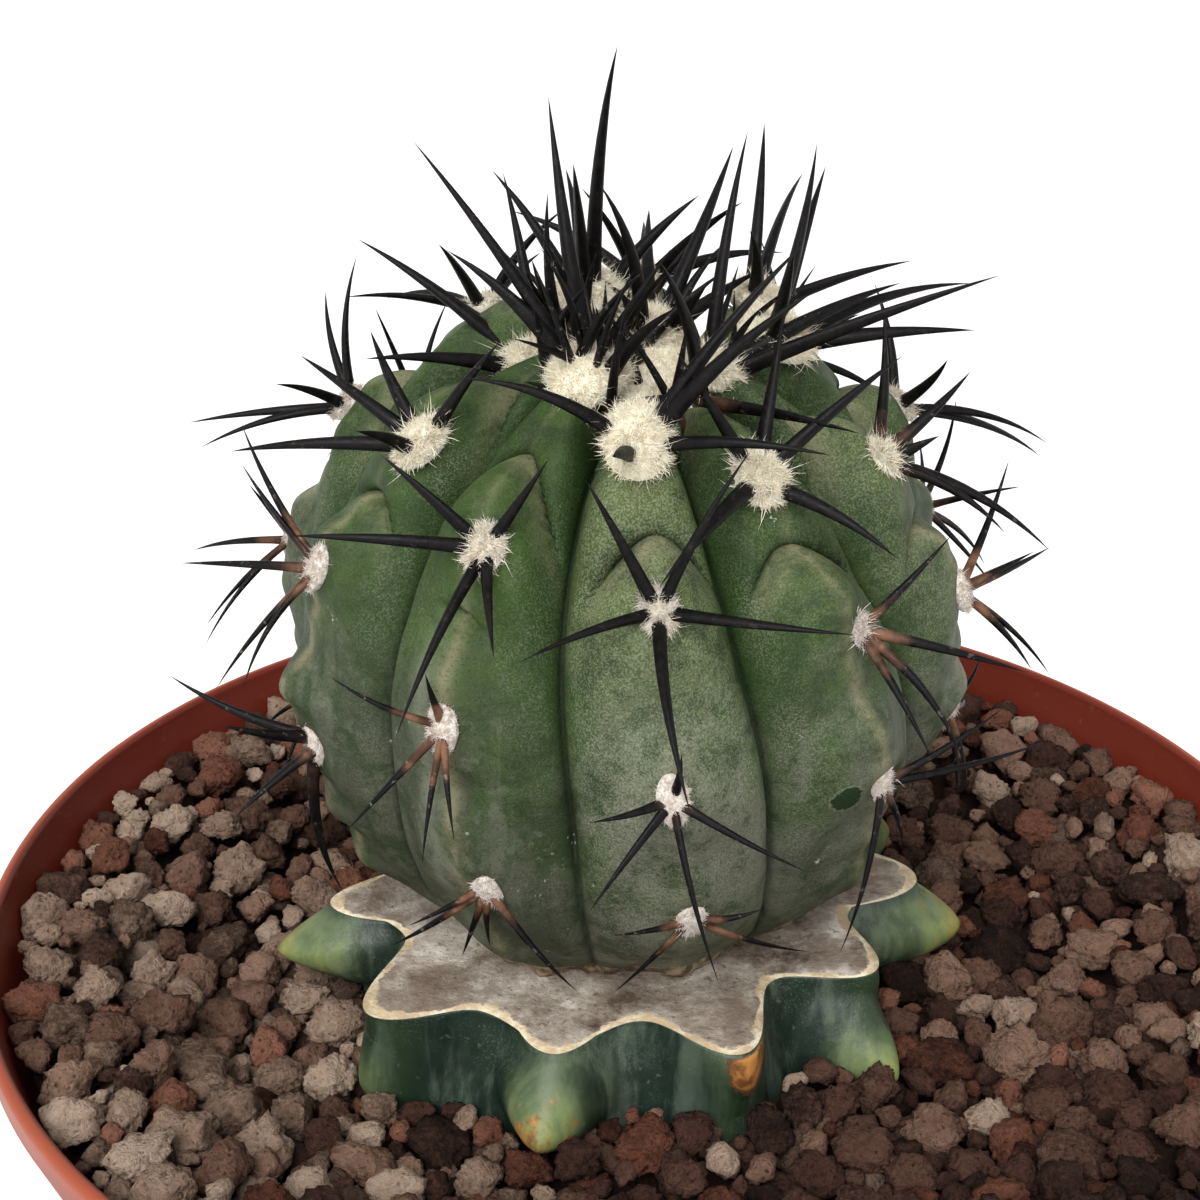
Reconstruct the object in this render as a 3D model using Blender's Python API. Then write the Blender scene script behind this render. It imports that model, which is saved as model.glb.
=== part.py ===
"""A young copiapoa grafted on a ribbed rootstock, standing in a plastic pot filled with volcanic gravel.

Units are metres, +Z is up, and the origin is the middle of the pot's underside. The photographed front
faces -Y. Azimuths are degrees round the plant from the front, growing towards +X.
"""

import math
import random

import bmesh
import bpy
from mathutils import Vector
from mathutils.geometry import delaunay_2d_cdt

# Pot
POT_HEIGHT = 0.106
RIM_RADIUS = 0.070
BASE_RADIUS = 0.050
BAND_HEIGHT = 0.013
BAND_STEP = 0.0016
BAND_TAPER = 0.0012
WALL = 0.0016
FOOT_RING_HEIGHT = 0.0025
FOOT_RING_WIDTH = 0.004
FLOOR_THICKNESS = 0.002
DRAIN_HOLES = 6
DRAIN_HOLE_RADIUS = 0.004
DRAIN_CIRCLE_RADIUS = 0.033
LIP_THICKNESS = 0.0030
LIP_ROUNDING = 0.0014
FOOT_CHAMFER = 0.0008
TURN_STEPS = 48
DRAIN_HOLE_STEPS = 14

# Heights of what stands in the pot
CUT_FACE_Z = POT_HEIGHT - 0.002
BED_Z = POT_HEIGHT - 0.013
CLEARANCE = 0.0003

# Gravel: the bed is level round the plant and heaped towards the pot's wall, and its top is a cover of
# touching grains, each a flat-topped block between dips
BED_HEAP = 0.0062
HEAP_RADII = (0.040, 0.064)
GRAIN_SPACING = 0.0058
GRAIN_TOP_SHARE = 0.62
GRAIN_RISE = (0.0018, 0.0042)
GRAIN_DIP = (0.0002, 0.0012)
GRAIN_TILT = 0.0005
GRAIN_TRIES = 7000
GRAIN_SEED = 11
STOCK_GAP = 0.0008

# Rootstock: each rib has an azimuth, a radius at the cut face, and its tubercle's reach and height above
# the gravel bed
STOCK_CENTRE = (-0.0036, 0.0021)
STOCK_RIBS = (
    (-74, 0.0310, 0.0068, 0.0070),
    (-42, 0.0348, 0.0012, 0.0035),
    (-11, 0.0322, 0.0052, 0.0032),
    (19, 0.0350, 0.0012, 0.0085),
    (52, 0.0322, 0.0072, 0.0035),
    (86, 0.0305, 0.0072, 0.0070),
    (121, 0.0325, 0.0055, 0.0050),
    (154, 0.0310, 0.0040, 0.0065),
    (187, 0.0330, 0.0060, 0.0040),
    (221, 0.0315, 0.0045, 0.0065),
    (253, 0.0325, 0.0050, 0.0040),
)
STOCK_VALLEY_RADIUS = 0.0262
STOCK_FLARE = 0.0034
STOCK_TUBERCLE_WIDTH = 0.0058
STEM_RADIUS = 0.0190
STEM_TAPER = 0.9
STEM_DEPTH = 0.032
STOCK_DROPS = (0.0005, 0.0022, 0.0040, 0.0056, 0.0072, 0.0088)
STOCK_EDGE_INSET = 0.014
STOCK_FOOT_INSET = 0.04
STOCK_STATIONS = (0.0, 0.17, 0.34, 0.5, 0.66, 0.83)
STOCK_EDGE_STATIONS = (0.0, 0.25, 0.5, 0.75)

# Scion: the ribbed body
SCION_CENTRE = (-0.0036, 0.0007, POT_HEIGHT + 0.029)
SCION_RADIUS = 0.0346
SCION_UPPER_RADIUS = 0.0315
SCION_LOWER_RADIUS = 0.0376
LEAN_RIGHT = math.radians(4)
LEAN_FORWARD = math.radians(13)
RIBS = 10
FRONT_RIB = 2
FRONT_RIB_AZIMUTH = 6.5
RIB_CROWDING = 2.5
RIB_TWIST = -0.17
UNTWISTED_LATITUDE = 15.0
GROOVE_DEPTH = 0.0058
GROOVE_SHALLOWER_AT_FOOT = 0.62
GROOVE_SHARPNESS = (2.2, 0.6)
TUBERCLE_HEIGHT = 0.0044
CREASE_ABOVE = 0.45
TUBERCLE_LEVEL = 0.62
TUBERCLE_AT_FOOT = 0.32
CREASE_ARCH = 9.0
APEX_DIMPLE = 0.0034
DIMPLE_SPREAD = 15.0
TOP_LATITUDE = 86.0
LOWEST_LATITUDE = -60.0
RIB_STATIONS = (-0.5, -0.38, -0.2, 0.0, 0.2, 0.38)
UPPER_ROW_STEP = 4.0
LOWER_ROW_STEP = 6.4

# Scion: areoles stand in a row down each rib, and each rib's row starts a fixed step above its neighbour's
AREOLE_STEP = 29.0
AREOLE_CYCLE = 30.0
AREOLE_START = 55.0
AREOLE_SHIFT = 21.0
LOWEST_AREOLE_ABOVE_CUT = 0.0100
OLD_WOOL_WIDTH = 0.0034
YOUNG_WOOL_WIDTH = 0.0062
APEX_WOOL_WIDTH = 0.0105
WOOL_RINGS = ((1.0, -0.45), (0.92, 0.16), (0.45, 0.36))
WOOL_SIDES = 6
WOOL_STRETCH = 1.15

# Spines: clock angle from the line up the rib, lift off the skin in degrees, length in millimetres
CROWN_SPINES = ((-70, 50, 20), (-20, 62, 25), (40, 58, 23), (95, 40, 19), (165, 50, 16))
YOUNG_SPINES = ((-42, 30, 14), (38, 32, 14), (-98, 24, 15), (100, 26, 16), (178, 34, 16))
RIPE_SPINES = ((-35, 26, 12), (36, 26, 12), (-112, 22, 12), (108, 22, 13), (176, 30, 15))
OLD_SPINES = ((-104, 22, 9), (84, 24, 8), (-140, 22, 10), (124, 20, 10))

# Spines on the side that the photo shows, by rib and by place down the rib
SEEN_SPINES = {
    (0, 0): ((-70, 22, 12), (-112, 22, 13), (-170, 22, 16), (15, 22, 11), (150, 68, 8)),
    (0, 1): ((-60, 22, 16), (-64, 28, 12), (-120, 35, 14), (-178, 22, 14), (165, 20, 12)),
    (0, 2): ((-60, 40, 15), (-10, 60, 9), (145, 72, 10), (180, 6, 18)),
    (1, 0): ((-45, 52, 25), (-85, 45, 25), (-95, 38, 16), (80, 55, 12)),
    (1, 1): ((-65, 25, 11), (35, 22, 9), (-112, 22, 16), (135, 22, 11), (178, 22, 18)),
    (1, 2): ((-65, 24, 10), (-145, 20, 12), (175, 22, 11), (158, 20, 9), (0, 30, 6)),
    (1, 3): ((-115, 28, 8), (-128, 20, 13), (180, 20, 6), (-160, 22, 8), (135, 14, 12)),
    (2, 0): ((-80, 22, 15), (105, 22, 16), (45, 35, 21), (62, 44, 20), (-160, 62, 8)),
    (2, 1): ((-26, 28, 13), (35, 24, 15), (-105, 26, 13), (105, 26, 16), (-179, 34, 16)),
    (2, 2): ((-62, 16, 7), (-128, 22, 10), (122, 22, 11), (175, 30, 14), (12, 16, 8)),
    (2, 3): ((-75, 8, 7), (75, 8, 6), (-138, 8, 11), (120, 10, 12)),
    (3, 0): ((-20, 25, 12), (33, 28, 14), (77, 28, 16), (158, 22, 13), (-112, 10, 15)),
    (3, 1): ((70, 22, 11), (130, 30, 13), (-165, 24, 11), (-178, 30, 13)),
    (3, 2): ((78, 20, 13), (100, 22, 17), (-145, 12, 16), (178, 18, 7)),
    (4, 0): ((65, 50, 23), (155, 38, 26), (125, 25, 20), (-60, 58, 17), (10, 50, 8)),
    (4, 1): ((35, 36, 12), (100, 45, 11), (-178, 22, 17), (-170, 20, 12), (150, 75, 5)),
    (4, 2): ((30, 30, 13), (115, 35, 13), (172, 22, 15), (178, 20, 12), (100, 52, 8)),
    (5, 0): ((105, 42, 22), (112, 34, 23), (175, 35, 20), (-165, 30, 18), (-50, 52, 16)),
    (5, 1): ((-170, 33, 19), (-162, 38, 12), (-178, 22, 21), (-40, 35, 11), (60, 30, 12)),
    (6, 0): ((130, 56, 22), (155, 42, 21), (-10, 34, 13), (-130, 40, 16)),
    (7, 0): ((-160, 45, 23), (30, 62, 20), (-130, 25, 13), (25, 50, 9), (175, 25, 19), (-60, 60, 8)),
    (8, 0): ((15, 66, 29), (35, 58, 19), (-60, 45, 14), (170, 50, 16), (-150, 40, 17)),
    (9, 0): ((-165, 45, 20), (-100, 52, 19), (-140, 25, 12), (150, 30, 16), (40, 50, 14)),
    (9, 1): ((-70, 47, 13), (-30, 40, 14), (90, 47, 9), (170, 42, 16), (155, 36, 15)),
    (9, 2): ((-145, 58, 14), (135, 25, 14), (150, 30, 12), (20, 38, 7)),
}
THICKEST_SEEN = (0, 2)
THICKEST_FACTOR = 1.6
OLD_SPINE_THICKNESS = 0.0010
YOUNG_SPINE_THICKNESS = 0.0020
SPINE_ROOT_DEPTH = 0.0020
SPINE_MIDDLE_SHARE = 0.66
BENT_FROM_MILLIMETRES = 12.5
SPINE_BEND = (-0.09, -0.02)
SPINE_SEED = 5
SPINE_CLEAR_OF_CUT = 0.0010

# Material slots of the scion, after its skin
WOOL_SLOT = 1
SPINE_SLOT = 2

GREEN_SKIN = (0.13, 0.20, 0.10)
STOCK_GREEN = (0.07, 0.20, 0.11)
WOOL_CREAM = (0.78, 0.70, 0.56)
SPINE_BLACK = (0.012, 0.012, 0.014)
GRAVEL_BROWN = (0.17, 0.10, 0.075)
TERRACOTTA = (0.46, 0.105, 0.045)


def clear_scene():
    for obj in list(bpy.data.objects):
        bpy.data.objects.remove(obj, do_unlink=True)


def make_material(name, colour, roughness):
    material = bpy.data.materials.new(name)
    material.use_nodes = True
    shader = material.node_tree.nodes["Principled BSDF"]
    shader.inputs["Base Color"].default_value = (*colour, 1.0)
    shader.inputs["Roughness"].default_value = roughness
    shader.inputs["Metallic"].default_value = 0.0
    material.diffuse_color = (*colour, 1.0)
    return material


def add_object(name, vertices, faces, materials, material_index=0, collection=None):
    mesh = bpy.data.meshes.new(name)
    mesh.from_pydata([tuple(v) for v in vertices], [], faces)
    for material in materials:
        mesh.materials.append(material)
    mesh.polygons.foreach_set("material_index", [material_index] * len(mesh.polygons))
    mesh.update()
    obj = bpy.data.objects.new(name, mesh)
    (collection or bpy.context.scene.collection).objects.link(obj)
    return obj


def polar(radius, azimuth, z, centre=(0.0, 0.0)):
    """A point at an azimuth in degrees from the front, round a vertical line."""
    angle = math.radians(azimuth)
    return Vector((centre[0] + radius * math.sin(angle), centre[1] - radius * math.cos(angle), z))


def apply_modifier(obj, modifier):
    with bpy.context.temp_override(object=obj, active_object=obj, selected_objects=[obj]):
        bpy.ops.object.modifier_apply(modifier=modifier.name)


def wall_faces(low, high, count):
    """Quads between two closed rings of vertices, the second above the first."""
    faces = []
    for i in range(count):
        j = (i + 1) % count
        faces.append((low + i, low + j, high + j, high + i))
    return faces


def add_lining(vertices, faces, rings):
    """Walls from ring to ring of points, closed across the last ring. Gives the first ring's vertices."""
    first = len(vertices)
    count = len(rings[0])
    vertices += [point for ring in rings for point in ring]
    for level in range(len(rings) - 1):
        faces += wall_faces(first + level * count, first + (level + 1) * count, count)
    faces.append(tuple(range(len(vertices) - count, len(vertices))))
    return list(range(first, first + count))


def face_outwards(obj):
    body = bmesh.new()
    body.from_mesh(obj.data)
    bmesh.ops.triangulate(body, faces=body.faces)
    bmesh.ops.recalc_face_normals(body, faces=body.faces)
    body.to_mesh(obj.data)
    body.free()


def boolean_with(obj, collection, operation, solver):
    """Joins or cuts a whole collection at once, then removes what it held."""
    modifier = obj.modifiers.new(operation.title(), "BOOLEAN")
    modifier.operation = operation
    modifier.operand_type = "COLLECTION"
    modifier.collection = collection
    modifier.solver = solver
    apply_modifier(obj, modifier)
    for helper in list(collection.objects):
        bpy.data.objects.remove(helper, do_unlink=True)
    bpy.data.collections.remove(collection)


def helper_collection(name):
    collection = bpy.data.collections.new(name)
    bpy.context.scene.collection.children.link(collection)
    return collection


# Pot


def outer_radius(z):
    """The tapered outside of the wall, without the rim band."""
    top = RIM_RADIUS - BAND_TAPER - BAND_STEP
    return BASE_RADIUS + (top - BASE_RADIUS) * z / POT_HEIGHT


def inner_radius(z):
    """The inside of the wall, which steps out behind the rim band."""
    step = BAND_STEP if z > POT_HEIGHT - BAND_HEIGHT - CLEARANCE else 0.0
    return outer_radius(z) - WALL + step


def pot_profile():
    """Radius and height round the wall's section, from the lip down the outside and back up the inside."""
    band_bottom = POT_HEIGHT - BAND_HEIGHT
    floor_top = FOOT_RING_HEIGHT + FLOOR_THICKNESS
    lip_inside = RIM_RADIUS - LIP_THICKNESS
    ring_inside = BASE_RADIUS - FOOT_RING_WIDTH
    return [
        (RIM_RADIUS, POT_HEIGHT - LIP_ROUNDING),
        (outer_radius(band_bottom) + BAND_STEP, band_bottom + CLEARANCE),
        (outer_radius(band_bottom), band_bottom - CLEARANCE),
        (BASE_RADIUS, FOOT_CHAMFER),
        (BASE_RADIUS - FOOT_CHAMFER, 0.0),
        (ring_inside, 0.0),
        (ring_inside - FOOT_CHAMFER, FOOT_RING_HEIGHT),
        (0.0, FOOT_RING_HEIGHT),
        (0.0, floor_top),
        (inner_radius(floor_top), floor_top),
        (inner_radius(band_bottom - BAND_STEP), band_bottom - BAND_STEP),
        (inner_radius(band_bottom), band_bottom),
        (lip_inside - LIP_ROUNDING / 2, POT_HEIGHT - 2 * LIP_ROUNDING),
        (lip_inside, POT_HEIGHT - LIP_ROUNDING / 2),
        (lip_inside + LIP_ROUNDING / 2, POT_HEIGHT),
        (RIM_RADIUS - LIP_ROUNDING / 2, POT_HEIGHT),
    ]


def make_pot(materials):
    mesh = bpy.data.meshes.new("pot")
    pot = bpy.data.objects.new("pot", mesh)
    bpy.context.scene.collection.objects.link(pot)
    profile = bmesh.new()
    points = [profile.verts.new(polar(radius, 0, z)) for radius, z in pot_profile()]
    edges = [profile.edges.new(pair) for pair in zip(points, points[1:] + points[:1])]
    on_axis = [edge for edge in edges if all(v.co.xy.length < 1e-9 for v in edge.verts)]
    for edge in on_axis:
        profile.edges.remove(edge)
    bmesh.ops.spin(
        profile,
        geom=list(profile.verts) + list(profile.edges),
        axis=(0, 0, 1),
        angle=math.tau,
        steps=TURN_STEPS,
        use_merge=True,
    )
    bmesh.ops.remove_doubles(profile, verts=profile.verts, dist=1e-6)
    bmesh.ops.recalc_face_normals(profile, faces=profile.faces)
    profile.to_mesh(mesh)
    profile.free()
    for material in materials:
        mesh.materials.append(material)
    drill_drain_holes(pot, materials)
    pot.data.shade_smooth()
    pot.data.set_sharp_from_angle(angle=math.radians(35))
    return pot


def drill_drain_holes(pot, materials):
    cutters = helper_collection("drain_hole_cutters")
    for i in range(DRAIN_HOLES):
        centre = polar(DRAIN_CIRCLE_RADIUS, 360 * (i + 0.5) / DRAIN_HOLES, 0)
        turn = [math.tau * j / DRAIN_HOLE_STEPS for j in range(DRAIN_HOLE_STEPS)]
        ring = [centre + Vector((math.cos(a), math.sin(a), 0)) * DRAIN_HOLE_RADIUS for a in turn]
        below, above = Vector((0, 0, -0.002)), Vector((0, 0, 0.010))
        vertices = [v + below for v in ring] + [v + above for v in ring]
        faces = wall_faces(0, DRAIN_HOLE_STEPS, DRAIN_HOLE_STEPS)
        faces.append(tuple(reversed(range(DRAIN_HOLE_STEPS))))
        faces.append(tuple(range(DRAIN_HOLE_STEPS, 2 * DRAIN_HOLE_STEPS)))
        cutter = add_object(f"drain_cutter_{i}", vertices, faces, materials, 0, cutters)
        cutter.hide_render = True
        cutter.display_type = "WIRE"
    boolean_with(pot, cutters, "DIFFERENCE", "EXACT")


# Rootstock


def stock_rib_shape(azimuth):
    """How far this azimuth is up the nearest rib, 0 in a valley to 1 on its ridge, and that rib's number."""
    ribs = [rib[0] for rib in STOCK_RIBS]
    count = len(ribs)
    for i in range(count):
        start = ribs[i]
        end = ribs[(i + 1) % count] + (360 if i == count - 1 else 0)
        along = (azimuth - start) % 360
        if along < end - start:
            share = along / (end - start)
            nearest = i if share < 0.5 else (i + 1) % count
            return (0.5 + 0.5 * math.cos(math.tau * share)) ** 1.25, nearest
    return 0.0, 0


def stock_point(azimuth, z):
    ridge, rib = stock_rib_shape(azimuth)
    rib_azimuth, rib_radius, reach, height = STOCK_RIBS[rib]
    down = min(max((CUT_FACE_Z - z) / (CUT_FACE_Z - BED_Z), 0.0), 1.0)
    valley = STOCK_VALLEY_RADIUS + STOCK_FLARE * down
    crest = rib_radius + 0.0008 * down
    radius = valley + (crest - valley) * ridge
    aside = math.radians((azimuth - rib_azimuth + 180) % 360 - 180) * rib_radius
    above = z - (BED_Z + height)
    distance = math.hypot(aside, above) / STOCK_TUBERCLE_WIDTH
    cone = max(0.0, 1.0 - distance) ** 1.15
    return polar(radius + reach * cone, azimuth, z - 0.25 * reach * cone, STOCK_CENTRE)


def stock_clear_radius(azimuth):
    """Just beyond the furthest that the stock reaches at this azimuth."""
    flank = [stock_point(azimuth, CUT_FACE_Z - drop).xy for drop in STOCK_DROPS]
    return max((point - Vector(STOCK_CENTRE)).length for point in flank) + STOCK_GAP


def stock_azimuths(stations):
    """Azimuths round the stock, at the same shares of the way from each ridge to the next."""
    azimuths = []
    for i, (start, *_) in enumerate(STOCK_RIBS):
        end = STOCK_RIBS[(i + 1) % len(STOCK_RIBS)][0] + (360 if i == len(STOCK_RIBS) - 1 else 0)
        azimuths += [start + (end - start) * share for share in stations]
    return azimuths


def make_rootstock(materials):
    """The stub with its flat cut face, and the stem below it that stands in the gravel."""
    azimuths = stock_azimuths(STOCK_STATIONS)
    flanks = [[stock_point(a, CUT_FACE_Z - drop) for a in azimuths] for drop in STOCK_DROPS]
    middle = Vector((*STOCK_CENTRE, 0.0))
    underside = BED_Z + CLEARANCE
    rings = [
        [Vector((*p.lerp(middle, STOCK_EDGE_INSET).xy, CUT_FACE_Z)) for p in flanks[0]],
        *flanks,
        [Vector((*p.lerp(middle, STOCK_FOOT_INSET).xy, underside)) for p in flanks[-1]],
        [polar(STEM_RADIUS, a, underside, STOCK_CENTRE) for a in azimuths],
        [polar(STEM_RADIUS * STEM_TAPER, a, BED_Z - STEM_DEPTH, STOCK_CENTRE) for a in azimuths],
    ]
    vertices = []
    faces = []
    faces.append(tuple(add_lining(vertices, faces, rings)))
    rootstock = add_object("rootstock", vertices, faces, materials)
    face_outwards(rootstock)
    return rootstock


# Gravel


def bed_height(place):
    """The height of the gravel bed at a point seen from above."""
    return BED_Z + BED_HEAP * smooth_step(*HEAP_RADII, place.length)


def wall_clear_radius(z):
    """How far out the fill may stand from the pot's axis."""
    return inner_radius(z) - 2 * CLEARANCE


def make_gravel(materials):
    """The fill of the pot, with a plain round hole for the stem and a cover of grains."""
    floor_top = FOOT_RING_HEIGHT + FLOOR_THICKNESS + CLEARANCE
    band_bottom = POT_HEIGHT - BAND_HEIGHT
    azimuths = stock_azimuths(STOCK_EDGE_STATIONS)
    hole_bottom = BED_Z - STEM_DEPTH - CLEARANCE
    hole_radius = STEM_RADIUS + 2 * CLEARANCE
    hole = [
        [polar(stock_clear_radius(a), a, BED_Z, STOCK_CENTRE) for a in azimuths],
        [polar(hole_radius, a, BED_Z, STOCK_CENTRE) for a in azimuths],
        [polar(hole_radius, a, hole_bottom, STOCK_CENTRE) for a in azimuths],
    ]
    turn = [360 * i / TURN_STEPS for i in range(TURN_STEPS)]
    levels = (BED_Z + BED_HEAP, band_bottom + CLEARANCE, band_bottom - BAND_STEP, floor_top)
    outside = [[polar(wall_clear_radius(z), a, z) for a in turn] for z in levels]
    vertices = []
    faces = []
    inner_edge = add_lining(vertices, faces, hole)
    outer_edge = add_lining(vertices, faces, outside)
    cover_with_grains(vertices, faces, inner_edge, outer_edge)
    gravel = add_object("gravel", vertices, faces, materials)
    face_outwards(gravel)
    return gravel


def grain_places():
    """Seeded middles for the grains, close together and clear of the pot wall and of the stock."""
    draw = random.Random(GRAIN_SEED)
    furthest = wall_clear_radius(BED_Z + BED_HEAP) - GRAIN_SPACING / 2
    places = []
    for _ in range(GRAIN_TRIES):
        place = polar(math.sqrt(draw.random()) * furthest, draw.uniform(0, 360), 0.0).xy
        from_stock = place - Vector(STOCK_CENTRE)
        azimuth = math.degrees(math.atan2(from_stock.x, -from_stock.y))
        if from_stock.length < stock_clear_radius(azimuth) + GRAIN_SPACING / 2:
            continue
        if all((place - other).length > GRAIN_SPACING for other in places):
            places.append(place)
    return places


def cover_with_grains(vertices, faces, inner_edge, outer_edge):
    """Fills the top between two edges with grains, each a block in the middle of a ring of dips."""
    edge = inner_edge + outer_edge
    sites = [vertices[i].xy for i in edge] + grain_places()
    inner, outer = len(inner_edge), len(outer_edge)
    fixed = [(i, (i + 1) % inner) for i in range(inner)]
    fixed += [(inner + i, inner + (i + 1) % outer) for i in range(outer)]
    found = delaunay_2d_cdt(sites, fixed, [], 0, 1e-7)
    site_of = [ids[0] for ids in found[3]]
    draw = random.Random(GRAIN_SEED)
    rises = [draw.uniform(*GRAIN_RISE) for _ in sites]
    across = {}
    dips = {}
    tops = {}
    for triangle in found[2]:
        corners = tuple(site_of[i] for i in triangle)
        if max(corners) < inner:
            continue
        middle = (sites[corners[0]] + sites[corners[1]] + sites[corners[2]]) / 3
        dips[corners] = len(vertices)
        vertices.append(Vector((*middle, bed_height(middle) + draw.uniform(*GRAIN_DIP))))
        for i, corner in enumerate(corners):
            across[corner, corners[(i + 1) % 3]] = corners
            if corner >= len(edge):
                spot = sites[corner].lerp(middle, GRAIN_TOP_SHARE)
                z = bed_height(sites[corner]) + rises[corner] + draw.uniform(-GRAIN_TILT, GRAIN_TILT)
                tops[corner, corners] = len(vertices)
                vertices.append(Vector((*spot, z)))
    for (start, end), corners in across.items():
        other = across.get((end, start))
        if other is None:
            faces.append((edge[start], edge[end], dips[corners]))
        elif start < len(edge):
            faces.append((edge[start], dips[other], dips[corners]))
        else:
            faces.append((dips[other], dips[corners], tops[start, corners], tops[start, other]))
    for site in range(len(edge), len(sites)):
        ring = [corners for corners in dips if site in corners]
        ring.sort(key=lambda corners: direction_from(sites[site], vertices[dips[corners]]))
        faces.append(tuple(tops[site, corners] for corners in ring))


def direction_from(middle, point):
    return math.atan2(point.y - middle.y, point.x - middle.x)


# Scion


def scion_frame():
    """The leaning plant's own right, front and up directions."""
    up = Vector((math.sin(LEAN_RIGHT), -math.sin(LEAN_FORWARD), 0.0))
    up.z = math.sqrt(1.0 - up.length_squared)
    front = Vector((0, -1, 0))
    front = (front - up * front.dot(up)).normalized()
    return up.cross(front), front, up


def rib_azimuth(rib, latitude):
    """Azimuth of a rib number, whole on a ridge and half-way in a groove, at a latitude."""
    turn = math.radians(360.0 / RIBS) * (rib - FRONT_RIB)
    crowding = RIB_CROWDING * math.sin(turn)
    twist = RIB_TWIST * (latitude - UNTWISTED_LATITUDE)
    return FRONT_RIB_AZIMUTH + math.degrees(turn) - crowding + twist


def smooth_step(low, high, value):
    share = min(max((value - low) / (high - low), 0.0), 1.0)
    return share * share * (3.0 - 2.0 * share)


def groove_depth(latitude):
    near_apex = smooth_step(90.0, 66.0, latitude)
    near_foot = 1.0 - GROOVE_SHALLOWER_AT_FOOT * smooth_step(5.0, -50.0, latitude)
    return GROOVE_DEPTH * near_apex * near_foot


def first_latitude(rib):
    """The latitude of the highest areole on a rib."""
    return AREOLE_START + (AREOLE_SHIFT * rib) % AREOLE_CYCLE


def tubercle_rise(rib, latitude):
    """The bulge under each areole: it starts at a crease and is fullest just below the areole."""
    whole = round(rib)
    side = 2.0 * (rib - whole)
    start = first_latitude(whole % RIBS)
    below = ((start - latitude - CREASE_ARCH * side * side) / AREOLE_STEP + CREASE_ABOVE) % 1.0
    bulge = math.sin(math.pi * below**0.9) ** 0.8
    higher = smooth_step(-30.0, 55.0, latitude)
    height = TUBERCLE_HEIGHT * (TUBERCLE_AT_FOOT + (1.0 - TUBERCLE_AT_FOOT) * higher)
    return height * (bulge - TUBERCLE_LEVEL) * max(0.0, 1.0 - side * side) * smooth_step(88.0, 74.0, latitude)


def scion_point(rib, latitude, rise=0.0):
    """The skin's point at a rib number and a latitude, and the direction out of the smooth body there."""
    right, front, up = scion_frame()
    azimuth = math.radians(rib_azimuth(rib, latitude))
    angle = math.radians(latitude)
    polar_radius = SCION_UPPER_RADIUS if latitude > 0 else SCION_LOWER_RADIUS
    sideways = right * math.sin(azimuth) + front * math.cos(azimuth)
    out = (sideways * math.cos(angle) / SCION_RADIUS + up * math.sin(angle) / polar_radius).normalized()
    base = sideways * (SCION_RADIUS * math.cos(angle)) + up * (polar_radius * math.sin(angle))
    side = min(abs(2.0 * (rib - round(rib))), 1.0)
    wide, steep = GROOVE_SHARPNESS
    groove = 1.0 - (1.0 - side**wide) ** steep
    dimple = APEX_DIMPLE * math.exp(-(((90.0 - latitude) / DIMPLE_SPREAD) ** 2))
    offset = tubercle_rise(rib, latitude) - groove_depth(latitude) * groove - dimple + rise
    return Vector(SCION_CENTRE) + base + out * offset, out


def make_scion_body(materials):
    ribs = [rib + station for rib in range(RIBS) for station in RIB_STATIONS]
    columns = len(ribs)
    latitudes = [TOP_LATITUDE]
    while latitudes[-1] > LOWEST_LATITUDE:
        latitudes.append(latitudes[-1] - (UPPER_ROW_STEP if latitudes[-1] > 0.0 else LOWER_ROW_STEP))
    vertices = [scion_point(rib, latitude)[0] for latitude in latitudes for rib in ribs]
    vertices += [scion_point(0, 90.0)[0], scion_point(0, -90.0)[0]]
    top, bottom = len(vertices) - 2, len(vertices) - 1
    faces = []
    for level in range(len(latitudes) - 1):
        faces += wall_faces((level + 1) * columns, level * columns, columns)
    lowest = (len(latitudes) - 1) * columns
    for i in range(columns):
        j = (i + 1) % columns
        faces.append((i, j, top))
        faces.append((lowest + j, lowest + i, bottom))
    scion = add_object("scion", vertices, faces, materials)
    cut_flat(scion, CUT_FACE_Z + CLEARANCE)
    return scion


def cut_flat(obj, z):
    """Cuts the body level where it is grafted, and closes it."""
    body = bmesh.new()
    body.from_mesh(obj.data)
    bmesh.ops.bisect_plane(
        body,
        geom=list(body.verts) + list(body.edges) + list(body.faces),
        plane_co=(0, 0, z),
        plane_no=(0, 0, 1),
        clear_inner=True,
    )
    rim = [edge for edge in body.edges if edge.is_boundary]
    bmesh.ops.edgeloop_fill(body, edges=rim)
    bmesh.ops.triangulate(body, faces=[face for face in body.faces if len(face.verts) > 4])
    bmesh.ops.recalc_face_normals(body, faces=body.faces)
    body.to_mesh(obj.data)
    body.free()


def areole_places():
    """(rib, row, latitude, place, out, up the rib, to the right) for every areole above the graft."""
    places = []
    for rib in range(RIBS):
        for row in range(5):
            latitude = first_latitude(rib) - AREOLE_STEP * row
            place, out = scion_point(rib, latitude)
            if place.z < CUT_FACE_Z + LOWEST_AREOLE_ABOVE_CUT:
                break
            higher = scion_point(rib, min(latitude + 2.0, 89.0))[0]
            up = (higher - place).normalized()
            up = (up - out * up.dot(out)).normalized()
            places.append((rib, row, latitude, place, out, up, up.cross(out)))
    return places


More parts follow.
